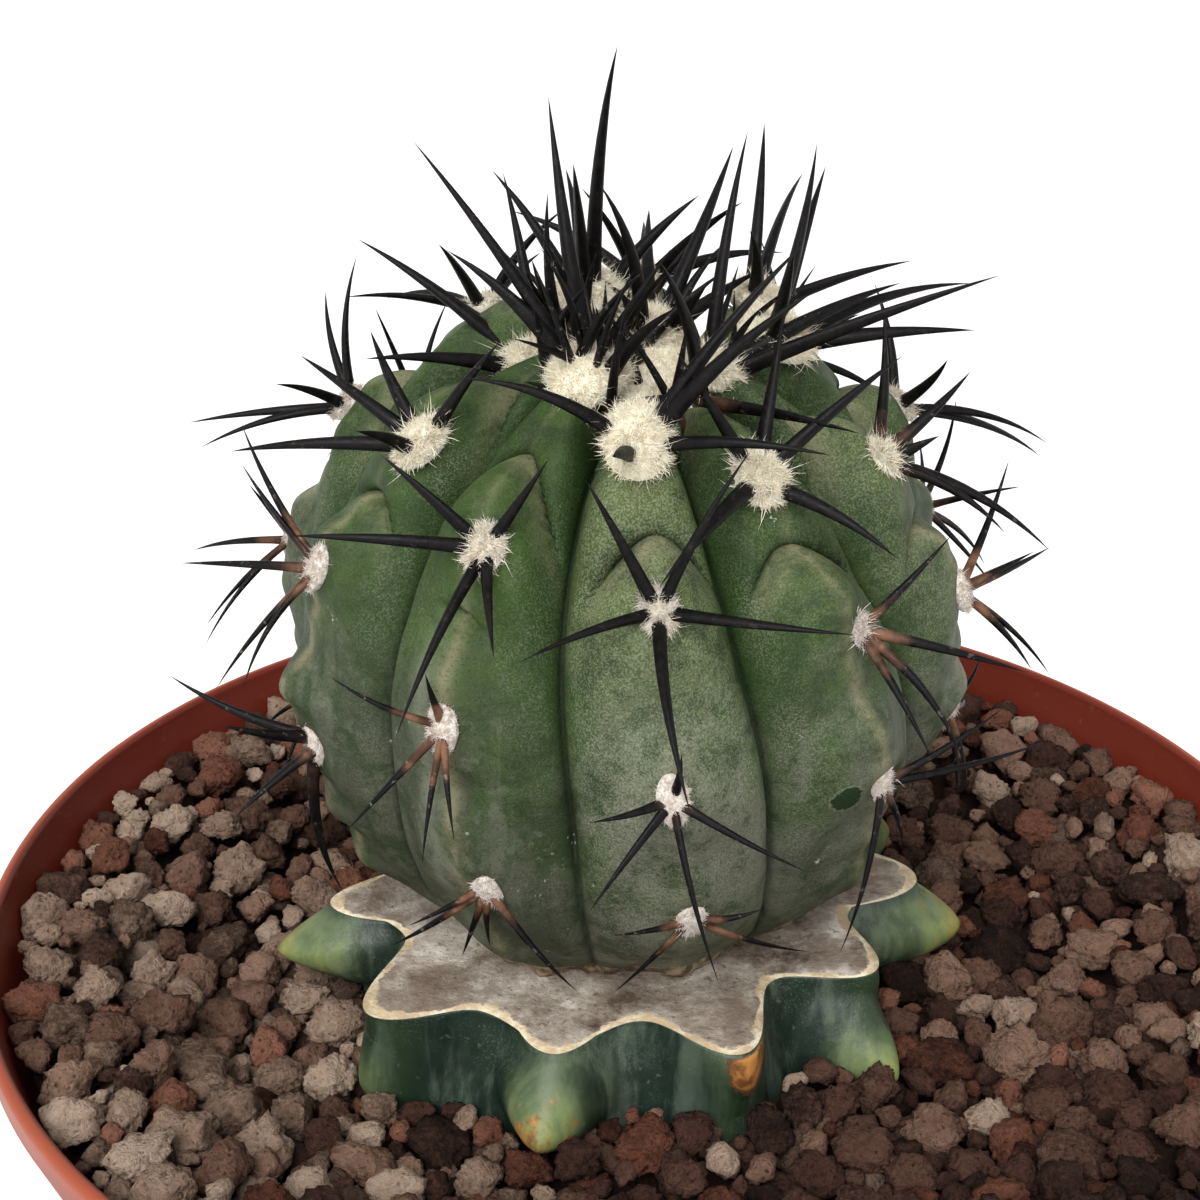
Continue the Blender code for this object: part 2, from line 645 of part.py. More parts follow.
def add_wool(place, out, up, right, width, materials, collection):
    """A low cushion, a little longer up the rib than across it, sunk into the skin."""
    vertices = []
    for share, height in WOOL_RINGS:
        for i in range(WOOL_SIDES):
            angle = math.tau * i / WOOL_SIDES
            aside = right * math.cos(angle) + up * (math.sin(angle) * WOOL_STRETCH)
            vertices.append(place + aside * (share * width / 2) + out * (height * width))
    faces = [tuple(reversed(range(WOOL_SIDES))), tuple(range(2 * WOOL_SIDES, 3 * WOOL_SIDES))]
    for level in (0, 1):
        faces += wall_faces(level * WOOL_SIDES, (level + 1) * WOOL_SIDES, WOOL_SIDES)
    add_object("wool", vertices, faces, materials, WOOL_SLOT, collection)


def add_spine(root, direction, bend, length, thickness, materials, collection):
    """A three-sided needle with its root sunk into the skin, curved a little where it is long."""
    side = direction.orthogonal().normalized()
    other = direction.cross(side)
    stations = [(-SPINE_ROOT_DEPTH, 1.0)]
    if bend.length > 0.0:
        stations.append((0.5 * length, SPINE_MIDDLE_SHARE))
    vertices = []
    for along, share in stations:
        middle = root + direction * along + bend * (max(along, 0.0) / length) ** 2
        for i in range(3):
            angle = math.tau * i / 3
            aside = side * math.cos(angle) + other * math.sin(angle)
            vertices.append(middle + aside * (thickness / 2 * share))
    vertices.append(root + direction * length + bend)
    tip = len(vertices) - 1
    faces = [(2, 1, 0)]
    if bend.length > 0.0:
        faces += wall_faces(0, 3, 3)
    faces += [(tip - 3 + i, tip - 3 + (i + 1) % 3, tip) for i in range(3)]
    add_object("spine", vertices, faces, materials, SPINE_SLOT, collection)


def spines_for(rib, row, latitude, draw):
    """(clock, lift, length) of each spine of an areole, and how thick they are at the root."""
    young = smooth_step(15.0, 72.0, latitude)
    thickness = OLD_SPINE_THICKNESS + (YOUNG_SPINE_THICKNESS - OLD_SPINE_THICKNESS) * young
    if (rib, row) in SEEN_SPINES:
        if (rib, row) == THICKEST_SEEN:
            thickness *= THICKEST_FACTOR
        return SEEN_SPINES[rib, row], thickness
    if latitude > 66.0:
        pattern = CROWN_SPINES
    elif latitude > 36.0:
        pattern = YOUNG_SPINES
    elif latitude > -5.0:
        pattern = RIPE_SPINES
    else:
        pattern = OLD_SPINES
    spines = [
        (clock + draw.uniform(-10, 10), lift + draw.uniform(-7, 7), length * draw.uniform(0.86, 1.14))
        for clock, lift, length in pattern
    ]
    return spines, thickness


def make_scion(materials):
    scion = make_scion_body(materials)
    growth = helper_collection("areoles")
    draw = random.Random(SPINE_SEED)
    lowest = CUT_FACE_Z + SPINE_CLEAR_OF_CUT
    for rib, row, latitude, place, out, up, right in areole_places():
        young = smooth_step(0.0, 66.0, latitude)
        width = OLD_WOOL_WIDTH + (YOUNG_WOOL_WIDTH - OLD_WOOL_WIDTH) * young
        add_wool(place, out, up, right, width, materials, growth)
        spines, thickness = spines_for(rib, row, latitude, draw)
        for clock, lift, millimetres in spines:
            length = 0.001 * millimetres
            clock, lift = math.radians(clock), math.radians(lift)
            flat = up * math.cos(clock) + right * math.sin(clock)
            direction = (flat * math.cos(lift) + out * math.sin(lift)).normalized()
            root = place + flat * width * 0.2
            tip_z = root.z + direction.z * length
            if tip_z < lowest:
                direction = (direction + Vector((0, 0, (lowest - tip_z) / length))).normalized()
            bend = Vector((0, 0, 0))
            if millimetres > BENT_FROM_MILLIMETRES:
                bend = out * length * draw.uniform(*SPINE_BEND)
            add_spine(root, direction, bend, length, thickness, materials, growth)
    apex, out = scion_point(0, 90.0)
    right, front, _ = scion_frame()
    add_wool(apex, out, -front, right, APEX_WOOL_WIDTH, materials, growth)
    boolean_with(scion, growth, "UNION", "MANIFOLD")
    return scion


def main():
    clear_scene()
    bpy.context.scene.unit_settings.system = "METRIC"
    bpy.context.scene.unit_settings.scale_length = 1.0
    skin = make_material("scion_skin", GREEN_SKIN, 0.55)
    wool = make_material("areole_wool", WOOL_CREAM, 0.95)
    spine = make_material("spine_black", SPINE_BLACK, 0.45)
    make_pot([make_material("pot_plastic", TERRACOTTA, 0.5)])
    make_gravel([make_material("volcanic_gravel", GRAVEL_BROWN, 0.95)])
    make_rootstock([make_material("stock_skin", STOCK_GREEN, 0.4)])
    make_scion([skin, wool, spine])


main()
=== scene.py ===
# A young copiapoa grafted on the stub of another cactus, in a plastic pot of volcanic gravel.
import math
import random

import bmesh
import bpy
import numpy as np
from mathutils import Matrix, Vector, noise


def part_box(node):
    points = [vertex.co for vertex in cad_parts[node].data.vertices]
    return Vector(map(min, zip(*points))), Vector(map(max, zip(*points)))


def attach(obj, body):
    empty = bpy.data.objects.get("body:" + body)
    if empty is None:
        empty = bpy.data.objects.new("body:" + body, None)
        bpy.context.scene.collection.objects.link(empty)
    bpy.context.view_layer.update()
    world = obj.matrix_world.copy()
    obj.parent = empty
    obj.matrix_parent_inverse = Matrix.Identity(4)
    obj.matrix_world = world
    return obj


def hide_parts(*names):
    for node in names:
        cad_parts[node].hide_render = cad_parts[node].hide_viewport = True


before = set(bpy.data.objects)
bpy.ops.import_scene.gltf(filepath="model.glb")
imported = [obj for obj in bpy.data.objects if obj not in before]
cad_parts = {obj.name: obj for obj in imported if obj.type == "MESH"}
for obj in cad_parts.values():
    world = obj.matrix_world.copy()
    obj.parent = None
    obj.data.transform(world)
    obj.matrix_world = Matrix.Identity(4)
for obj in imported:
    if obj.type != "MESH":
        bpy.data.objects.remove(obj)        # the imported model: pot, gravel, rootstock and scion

print("frame loaded")

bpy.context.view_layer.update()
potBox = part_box("pot")
rimHeight = potBox[1].z                      # the top of the pot's lip
rimRadius = potBox[1].x
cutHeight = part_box("rootstock")[1].z         # the flat cut face of the stock
bedHeight = rimHeight - 0.013                # the gravel bed round the plant
touchGap = 0.0003


# Small helpers

def smoothStep(low, high, value):
    share = np.clip((value - low) / (high - low), 0.0, 1.0)
    return share * share * (3.0 - 2.0 * share)


# 1 at zero, falling off smoothly to both sides.
def bell(value, width=1.0):
    return np.exp(-((value / width) ** 2))


def unit(vectors):
    return vectors / np.linalg.norm(vectors, axis=-1, keepdims=True)


def fractalNoise(points, scale, octaves=3, shift=Vector()):
    return np.array([noise.fractal(Vector(p) * scale + shift, 1.0, 2.0, octaves) for p in points])


# x, y, z of points round a vertical line; azimuth in degrees from the front.
def polarPoints(radius, azimuth, z, centre=(0.0, 0.0)):
    angle = np.radians(azimuth)
    x = centre[0] + radius * np.sin(angle)
    y = centre[1] - radius * np.cos(angle)
    return np.stack(np.broadcast_arrays(x, y, z), -1)


# Quads of a sheet that closes round, row by row downwards.
def gridFaces(rows, columns):
    i = np.arange(columns)
    j = (i + 1) % columns
    faces = []
    for high in range(0, (rows - 1) * columns, columns):
        low = high + columns
        faces.append(np.stack((low + i, low + j, high + j, high + i), -1))
    return np.concatenate(faces).tolist()


# Triangles that close such a sheet with a point above its first row and one below its last.
def endFaces(rows, columns):
    last = (rows - 1) * columns
    faces = []
    for i in range(columns):
        j = (i + 1) % columns
        faces += [(i, j, last + columns), (last + j, last + i, last + columns + 1)]
    return faces


def addObject(name, data):
    thing = bpy.data.objects.new(name, data)
    bpy.context.scene.collection.objects.link(thing)
    return thing


def applyModifier(thing, kind, **settings):
    modifier = thing.modifiers.new(kind, kind)
    for key, value in settings.items():
        setattr(modifier, key, value)
    with bpy.context.temp_override(object=thing, active_object=thing):
        bpy.ops.object.modifier_apply(modifier=modifier.name)


# Makes a mesh object with its materials and attributes, and lets it ride on the model.
def addPiece(name, points, faces, materials, attributes, materialOf=None):
    mesh = bpy.data.meshes.new(name)
    mesh.from_pydata(points.tolist(), [], faces)
    for material in materials:
        mesh.materials.append(material)
    if materialOf is not None:
        mesh.polygons.foreach_set("material_index", materialOf)
    for key, values in attributes.items():
        layer = mesh.attributes.new(key, "FLOAT", "POINT")
        layer.data.foreach_set("value", np.asarray(values, np.float32))
    mesh.polygons.foreach_set("use_smooth", [True] * len(mesh.polygons))
    mesh.update()
    piece = addObject(name, mesh)
    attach(piece, "root")
    return piece


# Many small shapes that become one piece, each with its values for the material.
class Heap:

    def __init__(self):
        self.points, self.faces, self.values, self.count = [], [], {}, 0

    def add(self, points, faces, **values):
        self.points.append(points)
        self.faces += [[self.count + i for i in face] for face in faces]
        self.count += len(points)
        for key, value in values.items():
            self.values.setdefault(key, []).append(np.broadcast_to(value, len(points)))

    def piece(self, name, material, slot):
        attributes = {key: np.concatenate(values) for key, values in self.values.items()}
        print("   ", name, len(self.faces), "faces")
        return addPiece(name, np.concatenate(self.points), self.faces, [material], attributes)


# A material under construction: short calls for the nodes that this scene uses.
class Shader:

    def __init__(self, name, roughness, **sockets):
        self.material = bpy.data.materials.new(name)
        self.material.use_nodes = True
        self.tree = self.material.node_tree
        self.principled = self.tree.nodes["Principled BSDF"]
        for socket, value in {"Roughness": roughness, **sockets}.items():
            self.feed(self.principled.inputs[socket.replace("_", " ")], value)
        self.place = self.node("TexCoord", {}, "Object")
        self.colour = None

    # Links or sets a socket; nothing leaves it as it is.
    def feed(self, socket, value):
        if isinstance(value, bpy.types.NodeSocket):
            self.tree.links.new(value, socket)
        elif isinstance(value, tuple) and socket.type == "RGBA":
            socket.default_value = (*value, 1.0)
        elif value is not None:
            socket.default_value = value

    def node(self, kind, inputs, output, **settings):
        node = self.tree.nodes.new("ShaderNode" + kind)
        for key, value in settings.items():
            setattr(node, key, value)
        for socket, value in inputs.items():
            self.feed(node.inputs[socket], value)
        return node.outputs[output]

    def attribute(self, name):
        return self.node("Attribute", {}, "Fac", attribute_name=name)

    def stretched(self, scale):
        return self.node("Mapping", {"Vector": self.place, "Scale": scale}, "Vector")

    def noise(self, scale, detail=3.0, roughness=0.55, distortion=0.0, place=None):
        inputs = {"Scale": scale, "Detail": detail, "Roughness": roughness, "Distortion": distortion}
        return self.node("TexNoise", {"Vector": place or self.place, **inputs}, "Fac")

    def cells(self, scale, place=None):
        return self.node("TexVoronoi", {"Vector": place or self.place, "Scale": scale}, "Distance")

    # A smooth step of a value, from start at low to end at high.
    def ramp(self, value, low, high, start=0.0, end=1.0):
        inputs = {"Value": value, "From Min": low, "From Max": high, "To Min": start, "To Max": end}
        return self.node("MapRange", inputs, "Result", interpolation_type="SMOOTHSTEP")

    # The same step of a noise, which leaves spots.
    def spots(self, low, high, *texture):
        return self.ramp(self.noise(*texture), low, high)

    def times(self, first, second):
        return self.node("Math", {0: first, 1: second}, 0, operation="MULTIPLY")

    def plus(self, first, second):
        return self.node("Math", {0: first, 1: second}, 0, operation="ADD")

    def mix(self, share, first, second):
        return self.node("Mix", {"Factor": share, "A": first, "B": second}, "Result", data_type="RGBA")

    # Colours between stops of a position and a colour.
    def colours(self, value, *stops):
        colour = self.node("ValToRGB", {"Fac": value}, "Color")
        elements = colour.node.color_ramp.elements
        for index, (position, stop) in enumerate(stops):
            element = elements[index] if index < 2 else elements.new(position)
            element.position = position
            element.color = (*stop, 1.0)
        return colour

    # Lays a colour over what is there so far.
    def paint(self, share, colour, strength=1.0):
        if strength < 1.0:
            share = self.times(share, strength)
        self.colour = self.mix(share, self.colour, colour)

    def bump(self, height, distance, strength=1.0, normal=None):
        inputs = {"Height": height, "Distance": distance, "Strength": strength, "Normal": normal}
        return self.node("Bump", inputs, "Normal")

    def finish(self, roughness=None, normal=None):
        for socket, value in (("Base Color", self.colour), ("Roughness", roughness), ("Normal", normal)):
            self.feed(self.principled.inputs[socket], value)
        return self.material


# Camera, light and floor

studio = {
    "cameraPlace": (-0.0058, -0.1622847, rimHeight + 0.102007),
    "cameraTilt": 66.25,             # degrees from straight down
    "lens": 52.5,
    "floorColour": (0.96, 0.96, 0.96),
    "horizonStrength": 1.0,
    "overheadStrength": 0.50,
    "fadeBetween": (0.20, 0.60),     # heights on the sky's ball, 0 at the horizon
    "keyStrength": 3.4,
    "keyFrom": (-0.20, -0.66, 0.75),
    "keySoftness": 42.0,             # degrees across, like a large softbox
    "floorReach": 6.0,
}


# A white room: bright at the horizon, dimmer overhead.
def makeRoom():
    world = bpy.data.worlds.new("studio")
    world.use_nodes = True
    nodes, links = world.node_tree.nodes, world.node_tree.links
    height = nodes.new("ShaderNodeSeparateXYZ")
    links.new(nodes.new("ShaderNodeTexCoord").outputs["Generated"], height.inputs[0])
    fade = nodes.new("ShaderNodeMapRange")
    fade.interpolation_type = "SMOOTHSTEP"
    links.new(height.outputs["Z"], fade.inputs["Value"])
    limits = *studio["fadeBetween"], studio["horizonStrength"], studio["overheadStrength"]
    for socket, value in zip(("From Min", "From Max", "To Min", "To Max"), limits):
        fade.inputs[socket].default_value = value
    nodes["Background"].inputs["Color"].default_value = (1.0, 1.0, 1.0, 1.0)
    links.new(fade.outputs["Result"], nodes["Background"].inputs["Strength"])
    bpy.context.scene.world = world


def makeStudio():
    scene = bpy.context.scene
    scene.view_settings.view_transform = "Standard"
    lens = bpy.data.cameras.new("camera")
    lens.sensor_width = 36.0
    lens.lens = studio["lens"]
    lens.clip_start = 0.005
    camera = addObject("camera", lens)
    camera.location = studio["cameraPlace"]
    camera.rotation_euler = (math.radians(studio["cameraTilt"]), 0.0, 0.0)
    scene.camera = camera
    makeRoom()
    light = bpy.data.lights.new("keyLight", "SUN")
    light.energy = studio["keyStrength"]
    light.angle = math.radians(studio["keySoftness"])
    lamp = addObject("keyLight", light)
    lamp.rotation_euler = Vector(studio["keyFrom"]).to_track_quat("Z", "Y").to_euler()
    sheet = bpy.data.meshes.new("floor")
    reach = studio["floorReach"]
    corners = [(-reach, -reach, 0), (reach, -reach, 0), (reach, reach, 0), (-reach, reach, 0)]
    sheet.from_pydata(corners, [], [(0, 1, 2, 3)])
    paper = Shader("floorPaper", 0.9)
    paper.colour = studio["floorColour"]
    sheet.materials.append(paper.finish())
    addObject("floor", sheet)


makeStudio()
print("studio ready")


# Pot

potShape = {
    "baseRadius": 0.050,
    "bandHeight": 0.013,
    "bandStep": 0.0016,
    "bandTaper": 0.0012,
    "wall": 0.0016,
    "lipThickness": 0.0014,
    "bandWall": 0.0010,
    "footChamfer": 0.0008,
    "footRingHeight": 0.0025,
    "footRingWidth": 0.004,
    "floorThickness": 0.002,
    "drainHoles": 6,
    "drainHoleRadius": 0.004,
    "drainCircleRadius": 0.033,
    "floorCorner": 0.0015,           # radius of the corner between floor and wall
    "outOfRound": (0.00009, 0.00005),            # at the lip, in two and in five waves round
    "turnSteps": 216,
}


def potOuterRadius(z):
    top = rimRadius - potShape["bandTaper"] - potShape["bandStep"]
    return potShape["baseRadius"] + (top - potShape["baseRadius"]) * z / rimHeight


def potInnerRadius(z):
    step = potShape["bandStep"] if z > rimHeight - potShape["bandHeight"] - touchGap else 0.0
    return potOuterRadius(z) - potShape["wall"] + step


# Points of an arc in the wall's section, angles in degrees from outwards, turning up.
def arcBetween(centre, radius, start, end, count):
    turn = [math.radians(start + (end - start) * i / count) for i in range(count + 1)]
    return [(centre[0] + radius * math.cos(a), centre[1] + radius * math.sin(a)) for a in turn]


# Radius and height round the wall's section, up the inside first and then down the outside.
def potSection():
    band = rimHeight - potShape["bandHeight"]
    bandOuter = potOuterRadius(band) + potShape["bandStep"]
    floorTop = potShape["footRingHeight"] + potShape["floorThickness"]
    corner = potShape["floorCorner"]
    chamfer = potShape["footChamfer"]
    ring = potShape["baseRadius"] - potShape["footRingWidth"]
    lip = potShape["lipThickness"] / 2
    points = [(0.0, floorTop), (potShape["drainCircleRadius"] * 1.2, floorTop)]
    points += arcBetween((potInnerRadius(floorTop) - corner, floorTop + corner), corner, -90, -8, 4)
    points += [(potInnerRadius(band - 0.0016), band - 0.0016), (potInnerRadius(band), band)]
    points += [(bandOuter - potShape["bandWall"], band + 0.0012)]
    points += [(rimRadius - 2 * lip - 0.0001, rimHeight - 0.0014)]
    points += arcBetween((rimRadius - lip, rimHeight - lip), lip, 180, -10, 12)
    points += [(rimRadius - 0.0001, rimHeight - 0.0032)]
    points += arcBetween((bandOuter - 0.0005, band + 0.0006), 0.0005, 0, -90, 4)
    points += arcBetween((potOuterRadius(band) + 0.0004, band - 0.0004), 0.0004, 90, 180, 3)
    points += [(potOuterRadius(z), z) for z in (band * 0.75, band * 0.5, band * 0.25)]
    points += arcBetween((potShape["baseRadius"] - chamfer, chamfer), chamfer, 0, -90, 4)
    points += [(ring, 0.0), (ring - 0.0006, potShape["footRingHeight"]), (0.0, potShape["footRingHeight"])]
    return points


def makePotPlastic():
    look = Shader("terracottaPlastic", 0.45, Specular_IOR_Level=0.30)
    clouds = look.noise(38.0, 4.0, 0.6)
    look.colour = look.mix(look.ramp(clouds, 0.35, 0.7), (0.275, 0.046, 0.019), (0.225, 0.036, 0.015))
    # painted highlight: the outside of the lip is painted lighter, as where it catches the light
    paler = look.ramp(look.attribute("paler"), 0.1, 0.9)
    look.paint(paler, (0.320, 0.070, 0.031), 0.75)
    # painted shade: the inner wall of the pot is painted darker, as where it lies in shade
    insideShade = look.attribute("insideShade")
    look.paint(insideShade, (0.125, 0.015, 0.007), 0.9)
    dust = look.spots(0.60, 0.74, 900.0, 2.0, 0.7)
    patches = look.spots(0.45, 0.75, 70.0, 3.0)
    look.paint(look.times(dust, patches), (0.34, 0.17, 0.12), 0.30)
    scratches = look.noise(60.0, 6.0, 0.65, 0.4, look.stretched((1.0, 1.0, 7.0)))
    roughness = look.ramp(scratches, 0.3, 0.75, 0.40, 0.52)
    grain = look.bump(look.noise(1400.0, 2.0), 0.00003, 0.5)
    return look.finish(roughness, look.bump(scratches, 0.00008, 0.2, grain))


def makePot():
    section = potSection()
    steps = potShape["turnSteps"]
    turn = np.arange(steps) * 360.0 / steps
    twoWaves, fiveWaves = potShape["outOfRound"]
    wave = twoWaves * np.sin(np.radians(2 * turn + 40)) + fiveWaves * np.sin(np.radians(5 * turn))
    rings = [polarPoints(radius - np.abs(wave * (z / rimHeight) ** 2), turn, z)
             for radius, z in section[1:-1]]
    points = np.concatenate([*rings, [(0.0, 0.0, section[0][1]), (0.0, 0.0, section[-1][1])]])
    faces = [face[::-1] for face in gridFaces(len(rings), steps)] + endFaces(len(rings), steps)
    heights = points[:, 2]
    middleOfWall = np.array([potInnerRadius(z) + 0.0007 for z in heights])
    middleOfWall = np.where(heights > rimHeight - 0.0035, rimRadius - 0.0010, middleOfWall)
    # marks the inner wall, which the material paints darker as shade
    insideShade = smoothStep(0.0002, -0.0003, np.hypot(points[:, 0], points[:, 1]) - middleOfWall)
    # the outside of the lip, which the material paints lighter as a highlight
    paler = smoothStep(rimHeight - 0.0030, rimHeight - 0.0004, heights) * (1.0 - insideShade)
    attributes = {"insideShade": insideShade, "paler": paler}
    pot = addPiece("potShell", points, faces, [makePotPlastic()], attributes)
    cutDrainHoles(pot)
    pot.data.set_sharp_from_angle(angle=math.radians(38))
    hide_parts("pot")


def cutDrainHoles(pot):
    cutters = []
    for i in range(potShape["drainHoles"]):
        turn = 360 * (i + 0.5) / potShape["drainHoles"]
        place = polarPoints(potShape["drainCircleRadius"], turn, 0.002).tolist()
        bpy.ops.mesh.primitive_cylinder_add(vertices=28, radius=potShape["drainHoleRadius"], depth=0.012,
                                            location=place)
        cutters.append(bpy.context.object)
    first = cutters[0]
    with bpy.context.temp_override(active_object=first, selected_editable_objects=cutters,
                                   selected_objects=cutters):
        bpy.ops.object.join()
    applyModifier(pot, "BOOLEAN", operation="DIFFERENCE", object=first)
    bpy.data.objects.remove(first, do_unlink=True)


makePot()
print("pot done")


# Rootstock

stockShape = {
    "centre": (-0.0036, 0.0021),
    # by rib: azimuth, radius at the cut face, reach of the tubercle, its height above the gravel bed, how
    # warm its tip is, the radius in the valley after it, the tubercle's width, how far its upper side runs
    # up, its turn from the rib in degrees, the crest's flare down to the gravel, and how blunt it is
    "ribs": (
        (-77, 0.0284, 0.0092, 0.0080, 0.24, 0.0258, 0.0070, 0.0038, 0.0, 0.0006, 0.65),
        (-43, 0.0360, 0.0021, 0.0026, 0.05, 0.0290, 0.0058, 0.0056, -2.0, -0.0016, 0.70),
        (-12, 0.0314, 0.0068, 0.0054, 0.95, 0.0272, 0.0064, 0.0066, 0.0, 0.0004, 0.60),
        (19, 0.0334, 0.0010, 0.0085, 0.10, 0.0255, 0.0058, 0.0050, 0.0, 0.0004, 0.70),
        (53, 0.0318, 0.0062, 0.0030, 0.10, 0.0255, 0.0050, 0.0058, -5.5, 0.0000, 0.60),
        (86, 0.0264, 0.0110, 0.0078, 0.30, 0.0255, 0.0078, 0.0048, 0.0, 0.0006, 0.78),
        (121, 0.0325, 0.0055, 0.0050, 0.55, 0.0262, 0.0060, 0.0055, 0.0, 0.0008, 0.64),
        (154, 0.0310, 0.0040, 0.0065, 0.20, 0.0262, 0.0058, 0.0045, 0.0, 0.0008, 0.66),
        (187, 0.0330, 0.0060, 0.0040, 0.70, 0.0268, 0.0066, 0.0060, 0.0, 0.0008, 0.64),
        (221, 0.0315, 0.0045, 0.0065, 0.25, 0.0262, 0.0058, 0.0045, 0.0, 0.0008, 0.66),
        (253, 0.0258, 0.0012, 0.0040, 0.45, 0.0244, 0.0058, 0.0050, 0.0, 0.0008, 0.70),
    ),
    "flare": 0.0030,
    "scarAzimuth": 21.0,
    "columns": 440,
    "flankRows": 34,
    "faceRows": 26,
    "rimWidth": 0.0010,
    "rimRise": 0.00035,
    "faceDip": 0.0005,
    "faceRoughness": 0.00028,
    "flankRoughness": 0.00035,
    "sunk": 0.003,                   # how far the flank goes on below the gravel bed
    "scarSize": (0.0025, 0.0028),    # half its width and height
}


# The flank's points, how far up a rib and up a tubercle each one is, and how warm the tubercle's tip is.
def stockPoints(azimuth, z):
    starts = np.array([rib[0] for rib in stockShape["ribs"]], float)
    ends = np.append(starts[1:], starts[0] + 360)
    along = (azimuth - starts[0]) % 360 + starts[0]
    index = np.clip(np.searchsorted(starts, along, side="right") - 1, 0, len(starts) - 1)
    share = (along - starts[index]) / (ends[index] - starts[index])
    ridge = (0.5 + 0.5 * np.cos(math.tau * share)) ** 1.1
    nearest = np.where(share < 0.5, index, (index + 1) % len(starts))
    table = np.array(stockShape["ribs"])[nearest]
    down = np.clip((cutHeight - z) / (cutHeight - bedHeight), 0.0, 1.0)
    valley = np.array(stockShape["ribs"])[index, 5] + stockShape["flare"] * down
    crest = table[:, 1] + table[:, 9] * down
    radius = valley + (crest - valley) * ridge
    aside = np.radians((azimuth - table[:, 0] - table[:, 8] + 180) % 360 - 180) * table[:, 1] / table[:, 6]
    above = z - (bedHeight + table[:, 3])
    above = np.where(above > 0, above / table[:, 7], above / table[:, 6])
    cone = np.maximum(0.0, 1.0 - (aside**2 + above**2 + 0.002) ** table[:, 10]) ** 1.1
    reach = table[:, 2] * np.minimum(cone, 1.0)
    points = polarPoints(radius + reach, azimuth, z - 0.25 * reach, stockShape["centre"])
    return points, ridge, np.minimum(cone, 1.0) * np.minimum(table[:, 2] / 0.0035, 1.0), table[:, 4]


def makeStockSkin():
    look = Shader("stockSkin", 0.42, Specular_IOR_Level=0.42)
    streaks = look.noise(230.0, 5.0, 0.62, 0.3, look.stretched((1.0, 1.0, 0.14)))
    clouds = look.noise(110.0, 4.0, 0.6)
    ridge = look.attribute("ridge")
    tip = look.attribute("tubercle")
    look.colour = look.mix(look.ramp(clouds, 0.3, 0.7), (0.008, 0.019, 0.013), (0.018, 0.034, 0.022))
    look.paint(look.ramp(ridge, 0.35, 1.0, 0.0, 0.50), (0.036, 0.062, 0.024))
    pale = look.times(look.ramp(streaks, 0.45, 0.64), look.ramp(ridge, 1.0, 0.15, 0.35, 1.0))
    look.paint(pale, (0.108, 0.142, 0.108), 0.66)
    darker = look.ramp(look.noise(300.0, 4.0, 0.6, 0.2, look.stretched((1.0, 1.0, 0.25))), 0.54, 0.66)
    look.paint(darker, (0.006, 0.014, 0.009), 0.6)
    mottle = look.plus(look.times(tip, 0.88), look.times(look.ramp(clouds, 0.3, 0.7), 0.20))
    mottle = look.plus(mottle, look.times(look.ramp(streaks, 0.35, 0.65), 0.22))
    look.paint(look.ramp(mottle, 0.26, 0.90, 0.0, 0.82), (0.150, 0.205, 0.090))
    look.paint(look.ramp(mottle, 0.66, 1.06, 0.0, 0.75), (0.280, 0.325, 0.085))
    sores = look.times(look.spots(0.42, 0.66, 330.0, 5.0, 0.7), 0.22)
    warm = look.times(look.ramp(look.plus(mottle, sores), 0.85, 1.05), look.attribute("warm"))
    spots = look.spots(0.40, 0.60, 520.0, 4.0, 0.6)
    rust = look.mix(spots, (0.46, 0.200, 0.045), (0.165, 0.062, 0.020))
    look.paint(warm, rust, 0.95)
    scar = look.plus(look.attribute("scar"), look.times(spots, 0.25))
    look.paint(look.ramp(scar, 0.34, 0.42), (0.110, 0.050, 0.022))
    look.paint(look.ramp(scar, 0.48, 0.66), rust)
    farina = look.ramp(look.cells(3400.0), 0.44, 0.22)
    look.paint(look.times(farina, look.ramp(clouds, 0.4, 0.7, 0.0, 0.14)), (0.34, 0.39, 0.33))
    scuffs = look.spots(0.62, 0.72, 800.0, 4.0, 0.7)
    look.paint(scuffs, (0.24, 0.27, 0.20), 0.30)
    fine = look.bump(look.noise(1500.0, 3.0), 0.00006, 0.6)
    return look.finish(look.ramp(streaks, 0.3, 0.7, 0.36, 0.55), look.bump(streaks, 0.00045, 0.6, fine))


def makeCutFace():
    look = Shader("dryCutFace", 0.85, Specular_IOR_Level=0.2)
    blotches = look.noise(125.0, 8.0, 0.74, 0.2)
    look.colour = look.colours(blotches, (0.36, (0.085, 0.058, 0.042)), (0.46, (0.255, 0.205, 0.162)),
                               (0.56, (0.445, 0.388, 0.325)), (0.68, (0.770, 0.715, 0.630)))
    stains = look.spots(0.47, 0.58, 80.0, 5.0, 0.65)
    look.paint(stains, (0.165, 0.118, 0.086), 0.65)
    specks = look.spots(0.57, 0.66, 850.0, 4.0, 0.75)
    look.paint(specks, (0.085, 0.058, 0.042), 0.65)
    rim = look.attribute("rim")
    crust = look.noise(330.0, 5.0, 0.70)
    cream = look.mix(look.ramp(crust, 0.38, 0.62), (0.78, 0.69, 0.50), (0.48, 0.36, 0.22))
    edge = look.plus(rim, look.times(look.ramp(crust, 0.3, 0.7), 0.60))
    look.paint(look.ramp(edge, 0.74, 0.92), cream)
    height = look.plus(blotches, look.times(look.noise(900.0, 4.0, 0.7), 0.5))
    return look.finish(None, look.bump(height, 0.0007, 0.8))


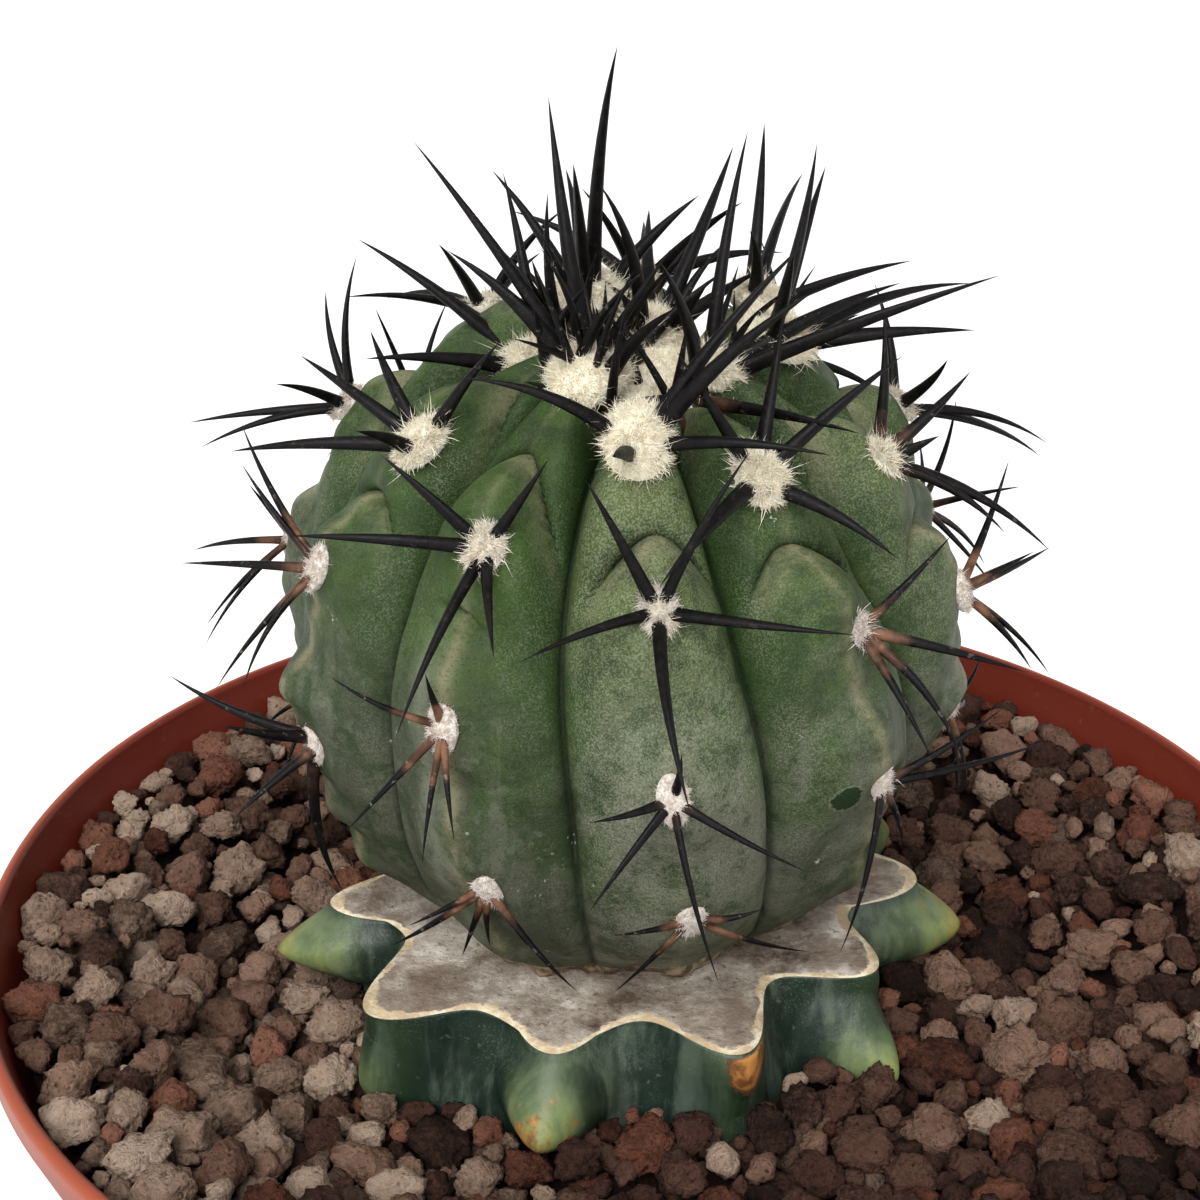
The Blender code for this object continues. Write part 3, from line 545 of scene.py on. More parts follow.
def makeRootstock():
    columns = stockShape["columns"]
    azimuth = np.arange(columns) * 360.0 / columns + stockShape["ribs"][0][0]
    centre = np.array(stockShape["centre"])
    outline, ridge, *_ = stockPoints(azimuth, np.full(columns, cutHeight - 0.0004))
    wobble = np.array([noise.noise(Vector((*p[:2], 0)) * 240) for p in outline]) * 0.0003
    toCentre = np.append(centre, 0.0) - outline * (1, 1, 0)
    reach = np.linalg.norm(toCentre, axis=1)
    rimWidth = stockShape["rimWidth"]
    plain = np.zeros(columns)
    rows = []                        # points, ridge, tubercle, warm, scar and rim
    for share in np.linspace(0.0, 1.0, stockShape["faceRows"])[::-1] ** 0.8:
        ring = outline * (1, 1, 0) + toCentre * share
        inward = reach * share
        bulge = bell((inward - 0.0007) / rimWidth * 2.2)
        rough = fractalNoise(ring + (0.0, 0.0, 0.3), 260) * stockShape["faceRoughness"]
        ring[:, 2] = cutHeight - stockShape["faceDip"] * smoothStep(0.0006, 0.0026, inward)
        ring[:, 2] += bulge * (stockShape["rimRise"] + wobble) + rough * smoothStep(0.0, 0.003, inward)
        ring[:, 2] -= 0.0004 * smoothStep(0.0006, 0.0, inward)
        rows.append((ring, ridge, plain, plain, plain, smoothStep(rimWidth * 1.5, rimWidth * 0.6, inward)))
    for z in np.linspace(cutHeight - 0.0006, bedHeight - stockShape["sunk"], stockShape["flankRows"]):
        ring, ridge, tubercle, warm = stockPoints(azimuth, np.full(columns, z))
        away = unit(ring[:, :2] - centre)
        wide, high = stockShape["scarSize"]
        scarDistance = np.hypot(np.radians(azimuth - stockShape["scarAzimuth"]) * 0.035 / wide,
                                (z - cutHeight + 0.0020) / high)
        scar = np.clip(1.4 - scarDistance, 0.0, 1.0)
        rough = fractalNoise(ring, 150) * stockShape["flankRoughness"]
        ring[:, :2] += away * (rough * (1 - tubercle) + 0.0004 * scar)[:, None]
        rim = np.full(columns, smoothStep(cutHeight - 0.0012, cutHeight - 0.0006, z))
        rows.append((ring, ridge, tubercle, warm, scar, rim))
    points, *values = (np.concatenate(parts) for parts in zip(*rows))
    attributes = dict(zip(("ridge", "tubercle", "warm", "scar", "rim"), values))
    faces = gridFaces(len(rows), columns)
    faces.append(list(range(len(points) - 1, len(points) - columns - 1, -1)))
    onFace = (stockShape["faceRows"] - 1) * columns
    materialOf = [1] * onFace + [0] * (len(faces) - onFace)
    materials = [makeStockSkin(), makeCutFace()]
    stock = addPiece("rootstockStub", points, faces, materials, attributes, materialOf)
    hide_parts("rootstock")


makeRootstock()
print("rootstock done")


# Gravel

gravelShape = {
    "heap": 0.0068,
    "frontHeap": 0.0020,             # how much higher it lies along the front wall
    "mound": 0.0012,                 # and round the plant: in front, and most of all right before the stock
    "frontMound": 0.0014,
    "heapRadii": (0.040, 0.064),
    "largest": 0.0038,               # radius of a grain
    "smallest": 0.0008,
    "tries": 26000,
    "sinking": (-0.05, 0.42),        # how high a grain's middle lies over the bed, as a share of its radius
    "fineFrom": 0.0019,              # larger grains than this get the finer mesh
    "fineTriangles": 720,
    "coarseTriangles": 220,
    "lowerTries": 3400,
    "lowerRadius": (0.0020, 0.0030),
    "lowerDepth": 0.0017,
    "prototypes": 20,                # stones of each mesh
    "cuts": 11,                      # flat sides of a stone, and how far out they are
    "cutReach": (0.72, 0.99),
    "stretches": ((0.80, 1.30), (0.74, 1.0), (0.64, 0.95)),
    "lumps": 0.15,
    "crumbs": 0.26,
    "holes": 0.16,
    "grit": 0.08,
    "packing": 0.87,                 # how near two grains lie, as a share of touching
    "lowerPacking": 0.8,
    "stockPacking": 0.86,
    "fillRadii": (0.020, 0.066),
    "fillDepth": 0.0030,             # of the fill's surface below the bed's
    "seed": 23,
}

# families of grain: shares at the front left, along the front and elsewhere, then darkest, middle and
# lightest colour
lavaFamilies = {
    "brownLava": (0.33, 0.10, 0.46, (0.032, 0.016, 0.011), (0.170, 0.091, 0.063), (0.335, 0.205, 0.144)),
    "umberLava": (0.03, 0.78, 0.24, (0.018, 0.009, 0.006), (0.078, 0.037, 0.026), (0.165, 0.087, 0.060)),
    "rustLava": (0.08, 0.12, 0.20, (0.030, 0.011, 0.007), (0.155, 0.059, 0.036), (0.300, 0.136, 0.088)),
    "beigeLava": (0.56, 0.00, 0.10, (0.080, 0.047, 0.032), (0.330, 0.222, 0.160), (0.550, 0.408, 0.308)),
}


def bedTop(x, y):
    heap = gravelShape["heap"] + gravelShape["frontHeap"] * smoothStep(0.050, -0.050, y)
    dx, dy = x - stockShape["centre"][0], y - stockShape["centre"][1]
    turn = np.degrees(np.arctan2(dx, -dy))
    mound = gravelShape["mound"] * smoothStep(-45.0, -15.0, turn) * smoothStep(75.0, 50.0, turn)
    mound = mound + gravelShape["frontMound"] * bell(turn - 6.0, 16.0)
    mound = mound * smoothStep(0.044, 0.036, np.hypot(dx, dy))
    return bedHeight + heap * smoothStep(*gravelShape["heapRadii"], np.hypot(x, y)) + mound


# The inner wall's radius, which widens towards the lip.
def wallInside(z):
    band = rimHeight - potShape["bandHeight"]
    low = potOuterRadius(band) + potShape["bandStep"] - potShape["bandWall"]
    share = np.clip((z - band) / potShape["bandHeight"], 0.0, 1.0)
    widening = low + (rimRadius - potShape["lipThickness"] - low) * share
    return np.where(z > band, widening, potInnerRadius(band - 0.001))


def makeLava(name, dark, middle, light):
    look = Shader(name, 0.95, Specular_IOR_Level=0.12)
    tone = look.attribute("tone")
    patches = look.noise(420.0, 5.0, 0.65)
    speckle = look.noise(2200.0, 4.0, 0.72)
    value = look.plus(look.times(patches, 0.45), look.times(tone, 0.50))
    value = look.plus(value, look.times(speckle, 0.44))
    look.colour = look.colours(value, (0.44, dark), (0.68, middle), (0.98, light))
    holes = look.ramp(look.cells(1300.0, place=look.stretched((1.0, 1.2, 0.8))), 0.05, 0.50)
    coarse = look.noise(900.0, 5.0, 0.75, 0.4)
    relief = look.plus(look.plus(speckle, coarse), look.times(holes, 0.22))
    # painted shade: the low parts of the relief, the pits and holes, are painted dark
    pits = look.ramp(relief, 1.08, 0.88)
    look.paint(pits, dark, 0.75)
    # painted shade: grains of the lower layer and the fill under the top grains are painted darker
    depthShade = look.attribute("depth")
    look.paint(depthShade, tuple(0.5 * c for c in dark), 0.45)
    return look.finish(None, look.bump(relief, 0.00075, 1.0))


def ballMesh(subdivisions):
    ball = bmesh.new()
    bmesh.ops.create_icosphere(ball, subdivisions=subdivisions, radius=1.0)
    directions = np.array([v.co for v in ball.verts])
    faces = [[v.index for v in face.verts] for face in ball.faces]
    ball.free()
    return directions, faces


# Thins a mesh to about so many triangles, which leaves it craggy.
def thinned(points, faces, triangles):
    mesh = bpy.data.meshes.new("stone")
    mesh.from_pydata(points.tolist(), [], faces)
    stone = addObject("stone", mesh)
    applyModifier(stone, "DECIMATE", ratio=triangles / len(faces))
    points = np.array([v.co for v in mesh.vertices])
    faces = [list(polygon.vertices) for polygon in mesh.polygons]
    bpy.data.objects.remove(stone, do_unlink=True)
    bpy.data.meshes.remove(mesh)
    return points, faces


# One rough stone of about unit radius: a ball cut by planes, with crumbs and round holes.
def rockShape(draw, triangles):
    directions, faces = ballMesh(5)
    radius = np.full(len(directions), 1.15)
    for _ in range(gravelShape["cuts"]):
        normal = np.array([draw.gauss(0, 1) for _ in range(3)])
        normal /= np.linalg.norm(normal)
        facing = directions @ normal
        reach = draw.uniform(*gravelShape["cutReach"])
        flat = np.where(facing > 0.2, reach / np.maximum(facing, 0.2), 9.0)
        radius = -np.log(np.exp(-22 * radius) + np.exp(-22 * flat)) / 22     # the nearer one, rounded off
    shift = Vector([draw.uniform(-50, 50) for _ in range(3)])
    lumps = fractalNoise(directions, 1.6, shift=shift)
    crumbs = np.array([noise.voronoi(Vector(d) * 3.3 + shift)[0][0] for d in directions])
    holes = np.array([noise.voronoi(Vector(d) * 2.5 - shift)[0][0] for d in directions])
    grit = np.array([noise.fractal(Vector(d) * 7.5 + shift, 0.8, 2.2, 3) for d in directions])
    radius = radius + gravelShape["lumps"] * lumps - gravelShape["crumbs"] * (crumbs - 0.35)
    radius = radius - gravelShape["holes"] * smoothStep(0.36, 0.14, holes) + gravelShape["grit"] * grit
    stretch = [draw.uniform(low, high) for low, high in gravelShape["stretches"]]
    return thinned(directions * radius[:, None] * stretch, faces, triangles)


# How far the stock reaches between two heights at one azimuth.
def stockReach(azimuth, low, high):
    heights = np.linspace(low, high, 5)
    points, *_ = stockPoints(np.full(5, azimuth), heights)
    return np.hypot(points[:, 0] - stockShape["centre"][0], points[:, 1] - stockShape["centre"][1]).max()


# Whether a new grain would lie too far into one of those laid.
def crowded(laid, x, y, radius, packing):
    return (np.hypot(laid[:, 0] - x, laid[:, 1] - y) < packing * (laid[:, 2] + radius)).any()


# Larger grains first, then smaller ones in what is left. Each is x, y, z, radius and whether it is low.
def placeGrains(draw):
    centre = stockShape["centre"]
    grains = []
    laid = np.zeros((0, 3))
    for number in range(gravelShape["tries"]):
        share = (number / gravelShape["tries"]) ** 0.26
        largest = gravelShape["largest"] * (1 - share) + gravelShape["smallest"] * share
        radius = largest * draw.uniform(0.82, 1.0)
        out = math.sqrt(draw.random()) * (rimRadius - 0.0026 - 0.75 * radius)
        x, y, _ = polarPoints(out, draw.uniform(0, 360), 0.0)
        z = float(bedTop(x, y)) + radius * draw.uniform(*gravelShape["sinking"]) + touchGap
        dx, dy = x - centre[0], y - centre[1]
        gap = math.hypot(dx, dy)
        if gap < 0.050:
            reach = stockReach(math.degrees(math.atan2(dx, -dy)), bedHeight - 0.001, z + radius * 0.8)
            if gap < reach + radius * gravelShape["stockPacking"]:
                continue
        if not crowded(laid, x, y, radius, gravelShape["packing"]):
            laid = np.vstack((laid, (x, y, radius)))
            grains.append((x, y, z, radius, 0.0))
    laid = np.zeros((0, 3))
    for _ in range(gravelShape["lowerTries"]):
        radius = draw.uniform(*gravelShape["lowerRadius"])
        out = math.sqrt(draw.random()) * (rimRadius - 0.0038 - radius)
        x, y, _ = polarPoints(out, draw.uniform(0, 360), 0.0)
        apart = math.hypot(x - centre[0], y - centre[1]) >= 0.033
        if apart and not crowded(laid, x, y, radius, gravelShape["lowerPacking"]):
            laid = np.vstack((laid, (x, y, radius)))
            grains.append((x, y, float(bedTop(x, y)) - gravelShape["lowerDepth"], radius, 1.0))
    return grains


def makeGravel():
    draw = random.Random(gravelShape["seed"])
    fine = [rockShape(draw, gravelShape["fineTriangles"]) for _ in range(gravelShape["prototypes"])]
    coarse = [rockShape(draw, gravelShape["coarseTriangles"]) for _ in range(gravelShape["prototypes"])]
    heaps = {name: Heap() for name in lavaFamilies}
    for x, y, z, radius, low in placeGrains(draw):
        leftness = float(smoothStep(0.005, -0.040, x) * smoothStep(0.045, -0.020, y))
        frontness = float(smoothStep(-0.022, -0.044, y)) * (1.0 - leftness)
        chances = [leftness * left + frontness * front + (1.0 - leftness - frontness) * rest
                   for left, front, rest, *_ in lavaFamilies.values()]
        family = draw.choices(list(lavaFamilies), chances)[0]
        small = radius < gravelShape["fineFrom"] or y > 0.035
        shape, faces = draw.choice(coarse if low or small else fine)
        turn = Matrix.Rotation(draw.uniform(0, math.tau), 3, "Z")
        turn = turn @ Matrix.Rotation(draw.uniform(-0.7, 0.7), 3, "X")
        turned = shape @ np.array(turn).T * radius + (x, y, z)
        squeeze = (wallInside(turned[:, 2]) - touchGap) / np.hypot(turned[:, 0], turned[:, 1])
        turned[:, :2] *= np.minimum(1.0, squeeze)[:, None]          # a grain at the wall lies against it
        # painted shade: grains along the front get darker tones, as in the plant's shadow
        heaps[family].add(turned, faces, tone=draw.random() * (1.0 - 0.40 * frontness), depth=low)
    for name, heap in heaps.items():
        *_, dark, middle, light = lavaFamilies[name]
        piece = heap.piece(name + "Grains", makeLava(name, dark, middle, light), "volcanic_gravel")
        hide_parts("gravel")
    makeFill()


# The fill below the top grains: it closes the gaps between them, and shows through the drain holes.
def makeFill():
    steps = 180
    turn = np.arange(steps) * 360.0 / steps
    floorTop = potShape["footRingHeight"] + potShape["floorThickness"] + touchGap
    band = rimHeight - potShape["bandHeight"]
    rings = []
    for out in np.linspace(*gravelShape["fillRadii"], 46):
        ring = polarPoints(out, turn, 0.0)
        ring[:, 2] = bedTop(ring[:, 0], ring[:, 1]) - gravelShape["fillDepth"]
        ring[:, 2] += 0.0012 * smoothStep(0.058, 0.065, out)
        ring[:, 2] += fractalNoise(ring, 420) * 0.0009
        rings.append(ring)
    for z in (band - 0.002, band * 0.6, band * 0.3, floorTop):
        rings.append(polarPoints(potInnerRadius(z) - 2 * touchGap, turn, z))
    points = np.concatenate(rings)
    faces = gridFaces(len(rings), steps)
    faces += [list(range(len(points) - 1, len(points) - steps - 1, -1)), list(range(steps))]
    *_, dark, middle, _ = lavaFamilies["brownLava"]
    # the fill's depth value and dark colours paint it as gravel in shade between the grains
    attributes = {"tone": np.full(len(points), 0.2), "depth": np.full(len(points), 0.8)}
    materials = [makeLava("fillLava", dark, dark, middle)]
    fill = addPiece("gravelFill", points, faces, materials, attributes)
    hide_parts("gravel")


makeGravel()
print("gravel done")


# Scion: the ribbed body

bodyShape = {
    "centre": (-0.0036, 0.0007, rimHeight + 0.029),
    "radius": 0.0346,
    "upperRadius": 0.0315,
    "lowerRadius": 0.0376,
    "leanRight": 4.0,
    "leanForward": 13.0,
    "ribs": 10,
    "frontRib": 2,
    "frontRibAzimuth": 6.5,
    "ribCrowding": 2.5,
    "ribTwist": -0.17,
    "grooveDepth": 0.0058,
    "shallowerAtFoot": 0.80,
    "tubercleHeight": 0.0054,
    "creaseAbove": 0.55,
    "creaseArch": 18.0,
    "archPeaks": (0.15, -0.2, 0.35, -0.1, 0.2, -0.25, 0.1, 0.2, -0.15, -0.2),   # across the rib, -1 to 1
    # how far the crease above an areole slants across the rib, by rib, in degrees
    "creaseSlants": (3.0, -4.0, 6.5, -2.0, 5.0, -5.0, 2.0, 4.0, -3.0, -4.5),
    "creaseLifts": (0.0, 0.0, 0.0, 5.5, 1.5, 0.0, 0.0, 0.0, 0.0, 0.0),     # and how much higher it is
    "creaseDepth": 0.0013,
    "apexDimple": 0.0034,
    "chin": 0.0026,                  # how far a tubercle's lower end hangs over the next one
    # by rib: a pale strip on the left of its crest, partly a painted highlight, how pale it is, how much
    # painted shade its left and right flanks get, and how strong the waves of its crest are
    "paleStripsAndHighlights": (0.1, 0.9, 0.2, 0.2, 0.4, 0.3, 0.5, 0.3, 0.5, 0.4),
    "paleness": (-0.25, -0.30, 0.72, 0.20, 0.62, 0.35, 0.50, 0.25, 0.45, 0.20),
    "leftFlankShade": (0.38, 0.35, 0.45, 1.00, 0.65, 0.60, 0.55, 0.80, 0.60, 0.50),
    "rightFlankShade": (1.00, 1.00, 0.00, 0.60, 0.50, 0.80, 0.60, 0.50, 0.70, 0.75),
    "crestWaves": (1.00, 0.30, 0.20, 0.45, 0.60, 0.75, 0.50, 0.65, 0.50, 0.80),
    "wound": (2.82, 3, 2, 1.5, 0.0024),      # rib, an areole's rib and row, degrees above it, and radius
    "areoleStep": 29.0,
    "areoleCycle": 30.0,
    "areoleStart": 55.0,
    "areoleShift": 21.0,
    "lowestAreole": 0.0100,
    # areoles that sit a little off the rule, by rib and row: share of a rib across, and degrees up
    "areoleNudges": {(0, 0): (0.20, -4.0), (0, 1): (0.02, -1.5), (0, 2): (0.06, -3.0), (1, 1): (0.07, -3.4),
                     (1, 2): (0.0, -2.2), (1, 3): (0.09, -2.6), (2, 0): (-0.03, -2.4), (2, 1): (0.03, 1.7),
                     (2, 2): (-0.01, 2.0), (2, 3): (0.03, 4.5), (3, 0): (-0.06, 0.0), (3, 1): (0.09, 2.4),
                     (3, 2): (0.01, 2.4), (9, 0): (0.24, 7.5)},
    "waveHeight": 0.00075,           # of the crests, before their share by rib
    "swelling": 0.0006,
    "roughness": 0.00016,
    "pitDepth": 0.0009,              # under each areole
    "pitRadius": 0.0026,
    "woolWidth": 0.0034,             # across a low areole
    "woolGrowth": 0.0043,            # and how much wider it is at the crown
    "columnsPerRib": 34,
    "rows": 216,
}


# The leaning plant's own right, front and up directions.
def leaningFrame():
    lean = bodyShape["leanRight"], bodyShape["leanForward"]
    up = np.array([math.sin(math.radians(lean[0])), -math.sin(math.radians(lean[1])), 0.0])
    up[2] = math.sqrt(1.0 - up @ up)
    front = np.array([0.0, -1.0, 0.0])
    front = unit(front - up * (front @ up))
    return np.cross(up, front), front, up


# One of the lists by rib, at many places.
def byRib(key, rib):
    return np.array(bodyShape[key])[(np.round(rib) % bodyShape["ribs"]).astype(int)]


def ribAzimuth(rib, latitude):
    turn = math.tau / bodyShape["ribs"] * (rib - bodyShape["frontRib"])
    crowding = bodyShape["ribCrowding"] * np.sin(turn)
    twist = bodyShape["ribTwist"] * (latitude - 15.0)
    return bodyShape["frontRibAzimuth"] + np.degrees(turn) - crowding + twist


def firstLatitude(rib):
    return bodyShape["areoleStart"] + (bodyShape["areoleShift"] * rib) % bodyShape["areoleCycle"]


# Where a point is down its tubercle, 0 to 1, how far it stands out there, and how young it is.
def tubercleWave(rib, latitude):
    side = 2.0 * (rib - np.round(rib))
    across = side - byRib("archPeaks", rib)
    arch = bodyShape["creaseArch"] * np.abs(across)**2.4 / (0.35 + 0.65 * np.abs(across))
    arch = arch + byRib("creaseSlants", rib) * across
    raised = firstLatitude(np.round(rib) % bodyShape["ribs"]) + byRib("creaseLifts", rib)
    below = ((raised - latitude - arch) / bodyShape["areoleStep"] + bodyShape["creaseAbove"]) % 1.0
    young = smoothStep(26.0, 50.0, latitude)
    sharp = np.sin(np.pi * below**1.15) ** 0.66 - 0.62
    soft = np.sin(np.pi * below) ** 1.5 - 0.5
    window = np.maximum(0.0, 1.0 - side**2) ** (1.0 + 1.5 * (1.0 - young))
    height = bodyShape["tubercleHeight"] * (0.40 + 0.60 * smoothStep(-30.0, 55.0, latitude))
    bulge = sharp * young + soft * (1.0 - young) * 0.55
    notch = bell(np.minimum(below, 1.0 - below), 0.045) * young
    rise = (height * bulge - bodyShape["creaseDepth"] * notch) * window * smoothStep(88.0, 74.0, latitude)
    return below, rise, young


# Points of the skin at rib numbers and latitudes, and the directions out of the smooth body there.
def bodyPoints(rib, latitude):
    right, front, up = leaningFrame()
    rib, latitude = np.broadcast_arrays(np.asarray(rib, float), np.asarray(latitude, float))
    azimuth = np.radians(ribAzimuth(rib, latitude))[..., None]
    angle = np.radians(latitude)[..., None]
    polarRadius = np.where(latitude > 0, bodyShape["upperRadius"], bodyShape["lowerRadius"])[..., None]
    sideways = right * np.sin(azimuth) + front * np.cos(azimuth)
    out = unit(sideways * np.cos(angle) / bodyShape["radius"] + up * np.sin(angle) / polarRadius)
    base = sideways * (bodyShape["radius"] * np.cos(angle)) + up * (polarRadius * np.sin(angle))
    side = np.minimum(np.abs(2.0 * (rib - np.round(rib))), 1.0)
    acute = 0.9 * smoothStep(55.0, 5.0, latitude)
    edgeSide = np.sqrt(side**2 + 0.010) - 0.1
    groove = (1.0 - (1.0 - side**2.2) ** 0.6) * (1.0 - acute) + (0.70 * edgeSide + 0.25 * side**18) * acute
    depth = bodyShape["grooveDepth"] * smoothStep(90.0, 66.0, latitude)
    depth = depth * (1.0 - bodyShape["shallowerAtFoot"] * smoothStep(2.0, -42.0, latitude))
    dimple = bodyShape["apexDimple"] * bell(90.0 - latitude, 15.0)
    _, bulge, _ = tubercleWave(rib, latitude)
    offset = bulge - depth * groove - dimple
    return np.array(bodyShape["centre"]) + base + out * offset[..., None], out


# A dictionary for every areole above the graft: its rib, row, latitude, place and directions.
def areolePlaces():
    areoles = []
    for rib in range(bodyShape["ribs"]):
        for row in range(5):
            aside, raised = bodyShape["areoleNudges"].get((rib, row), (0.0, 0.0))
            latitude = firstLatitude(rib) - bodyShape["areoleStep"] * row + raised
            place, out = bodyPoints(rib + aside, latitude)
            if place[2] < cutHeight + bodyShape["lowestAreole"]:
                break
            higher, _ = bodyPoints(rib + aside, min(latitude + 2.0, 89.0))
            up = unit(higher - place)
            up = unit(up - out * (up @ out))
            areoles.append({"rib": rib, "row": row, "latitude": latitude, "place": place, "out": out,
                            "up": up, "right": np.cross(up, out)})
    return areoles


areoles = areolePlaces()


def makeScionSkin():
    look = Shader("scionSkin", 0.6, Specular_IOR_Level=0.15)
    youth = look.attribute("youth")
    side = look.attribute("side")            # 0 on a rib's crest, 1 in the groove
    clouds = look.noise(62.0, 5.0, 0.62, 0.5)
    patches = look.noise(300.0, 6.0, 0.70, 0.3)
    pale = look.plus(look.times(clouds, 0.65), look.times(look.attribute("pale"), 0.35))
    old = look.mix(look.ramp(pale, 0.36, 0.62), (0.044, 0.053, 0.031), (0.124, 0.128, 0.091))
    fresh = look.mix(look.ramp(pale, 0.38, 0.66), (0.032, 0.064, 0.011), (0.092, 0.122, 0.036))
    look.colour = look.mix(look.ramp(youth, 0.30, 0.80), old, fresh)
    brownish = look.times(look.ramp(youth, 0.36, 0.12), look.ramp(clouds, 0.62, 0.42))
    look.paint(brownish, (0.082, 0.079, 0.056), 0.70)
    greener = look.spots(0.50, 0.62, 88.0, 5.0, 0.65, 0.4)
    greener = look.times(greener, look.ramp(youth, 0.20, 0.65, 0.45, 0.80))
    look.paint(greener, (0.040, 0.082, 0.014))
    deep = look.ramp(look.plus(patches, look.times(clouds, 0.6)), 0.84, 0.70)
    look.paint(deep, (0.022, 0.041, 0.014), 0.80)
    spots = look.spots(0.54, 0.66, 430.0, 5.0, 0.68)
    look.paint(look.times(spots, look.ramp(youth, 0.8, 0.3, 0.15, 0.34)), (0.150, 0.160, 0.116))
    # painted shade: the flanks of each rib are darkened, by rib, as the side turned from the light
    flankShade = look.times(look.attribute("flankShade"), look.ramp(youth, 0.24, 0.62, 0.18, 0.90))
    look.paint(flankShade, look.mix(look.ramp(youth, 0.25, 0.60), (0.024, 0.032, 0.017), (0.019, 0.044, 0.008)))
    # tan along the crests and just below each crease; below the crease it is partly a painted highlight
    tanAndHighlight = look.times(look.attribute("edge"), look.ramp(patches, 0.34, 0.62, 0.30, 1.0))
    look.paint(tanAndHighlight, (0.235, 0.218, 0.128), 0.85)
    # a pale strip left of the crest, partly a painted highlight on the side that faces the light
    paleStripAndHighlight = look.times(look.attribute("paleStripAndHighlight"), look.ramp(patches, 0.34, 0.60, 0.35, 1.0))
    look.paint(paleStripAndHighlight, (0.205, 0.225, 0.160), 0.65)
    # painted shade: a narrow dark line at the bottom of each groove
    look.paint(look.ramp(side, 0.93, 1.0, 0.0, 0.80), (0.008, 0.014, 0.006))
    # painted shade: a dark line along each crease and a darker underside of the tubercle above it
    look.paint(look.attribute("creaseShade"), (0.009, 0.019, 0.006), 0.85)
    streaks = look.noise(300.0, 5.0, 0.62, 0.2, look.stretched((1.0, 1.0, 0.10)))
    paler = look.times(look.ramp(streaks, 0.53, 0.66), look.ramp(youth, 0.70, 0.25))
    look.paint(paler, (0.190, 0.194, 0.150), 0.24)
    dots = look.spots(0.43, 0.62, 5400.0, 2.0, 0.65)
    bloom = look.ramp(look.plus(pale, look.times(patches, 0.5)), 0.54, 0.92, 0.07, 0.48)
    bloom = look.times(bloom, look.ramp(side, 1.0, 0.75, 0.15, 1.0))
    look.paint(look.times(dots, bloom), (0.300, 0.318, 0.230))
    pores = look.spots(0.43, 0.34, 3600.0, 2.0, 0.6)
    look.paint(pores, (0.016, 0.026, 0.010), 0.45)
    flecks = look.spots(0.63, 0.70, 640.0, 5.0, 0.75)
    smears = look.spots(0.53, 0.66, 95.0, 3.0)
    look.paint(look.times(flecks, smears), (0.42, 0.46, 0.38))
    wound = look.plus(look.attribute("wound"), look.times(look.noise(560.0, 5.0, 0.7), 1.4))
    look.paint(look.ramp(wound, 1.00, 1.08, 0.0, 0.45), (0.230, 0.240, 0.170))
    look.paint(look.ramp(wound, 1.08, 1.18), (0.018, 0.034, 0.015))
    cork = look.plus(look.attribute("graft"), look.times(look.noise(420.0, 4.0), 0.7))
    bark = look.mix(look.spots(0.4, 0.62, 800.0, 4.0), (0.340, 0.255, 0.165), (0.095, 0.062, 0.038))
    look.paint(look.ramp(cork, 0.84, 1.00), bark)
    height = look.plus(look.times(dots, 0.10), patches)
    return look.finish(look.ramp(dots, 0.0, 1.0, 0.52, 0.72), look.bump(height, 0.00030, 0.6))


# The uneven waves along a rib's crest, which leave the areoles alone.
def crestWaves(rib, latitude, points):
    whole = np.round(rib) % bodyShape["ribs"]
    waves = np.sin(np.radians(latitude * 31.0 + whole * 131.0))
    waves = waves + 0.6 * np.sin(np.radians(latitude * 17.0 + whole * 57))
    waves = bodyShape["waveHeight"] * byRib("crestWaves", rib) * waves
    waves = waves * bell(2.0 * (rib - np.round(rib)), 0.30) * smoothStep(60.0, 25.0, latitude)
    for areole in areoles:
        waves *= 1.0 - np.exp(-((np.linalg.norm(points - areole["place"], axis=-1) / 0.0042) ** 4))
    return waves


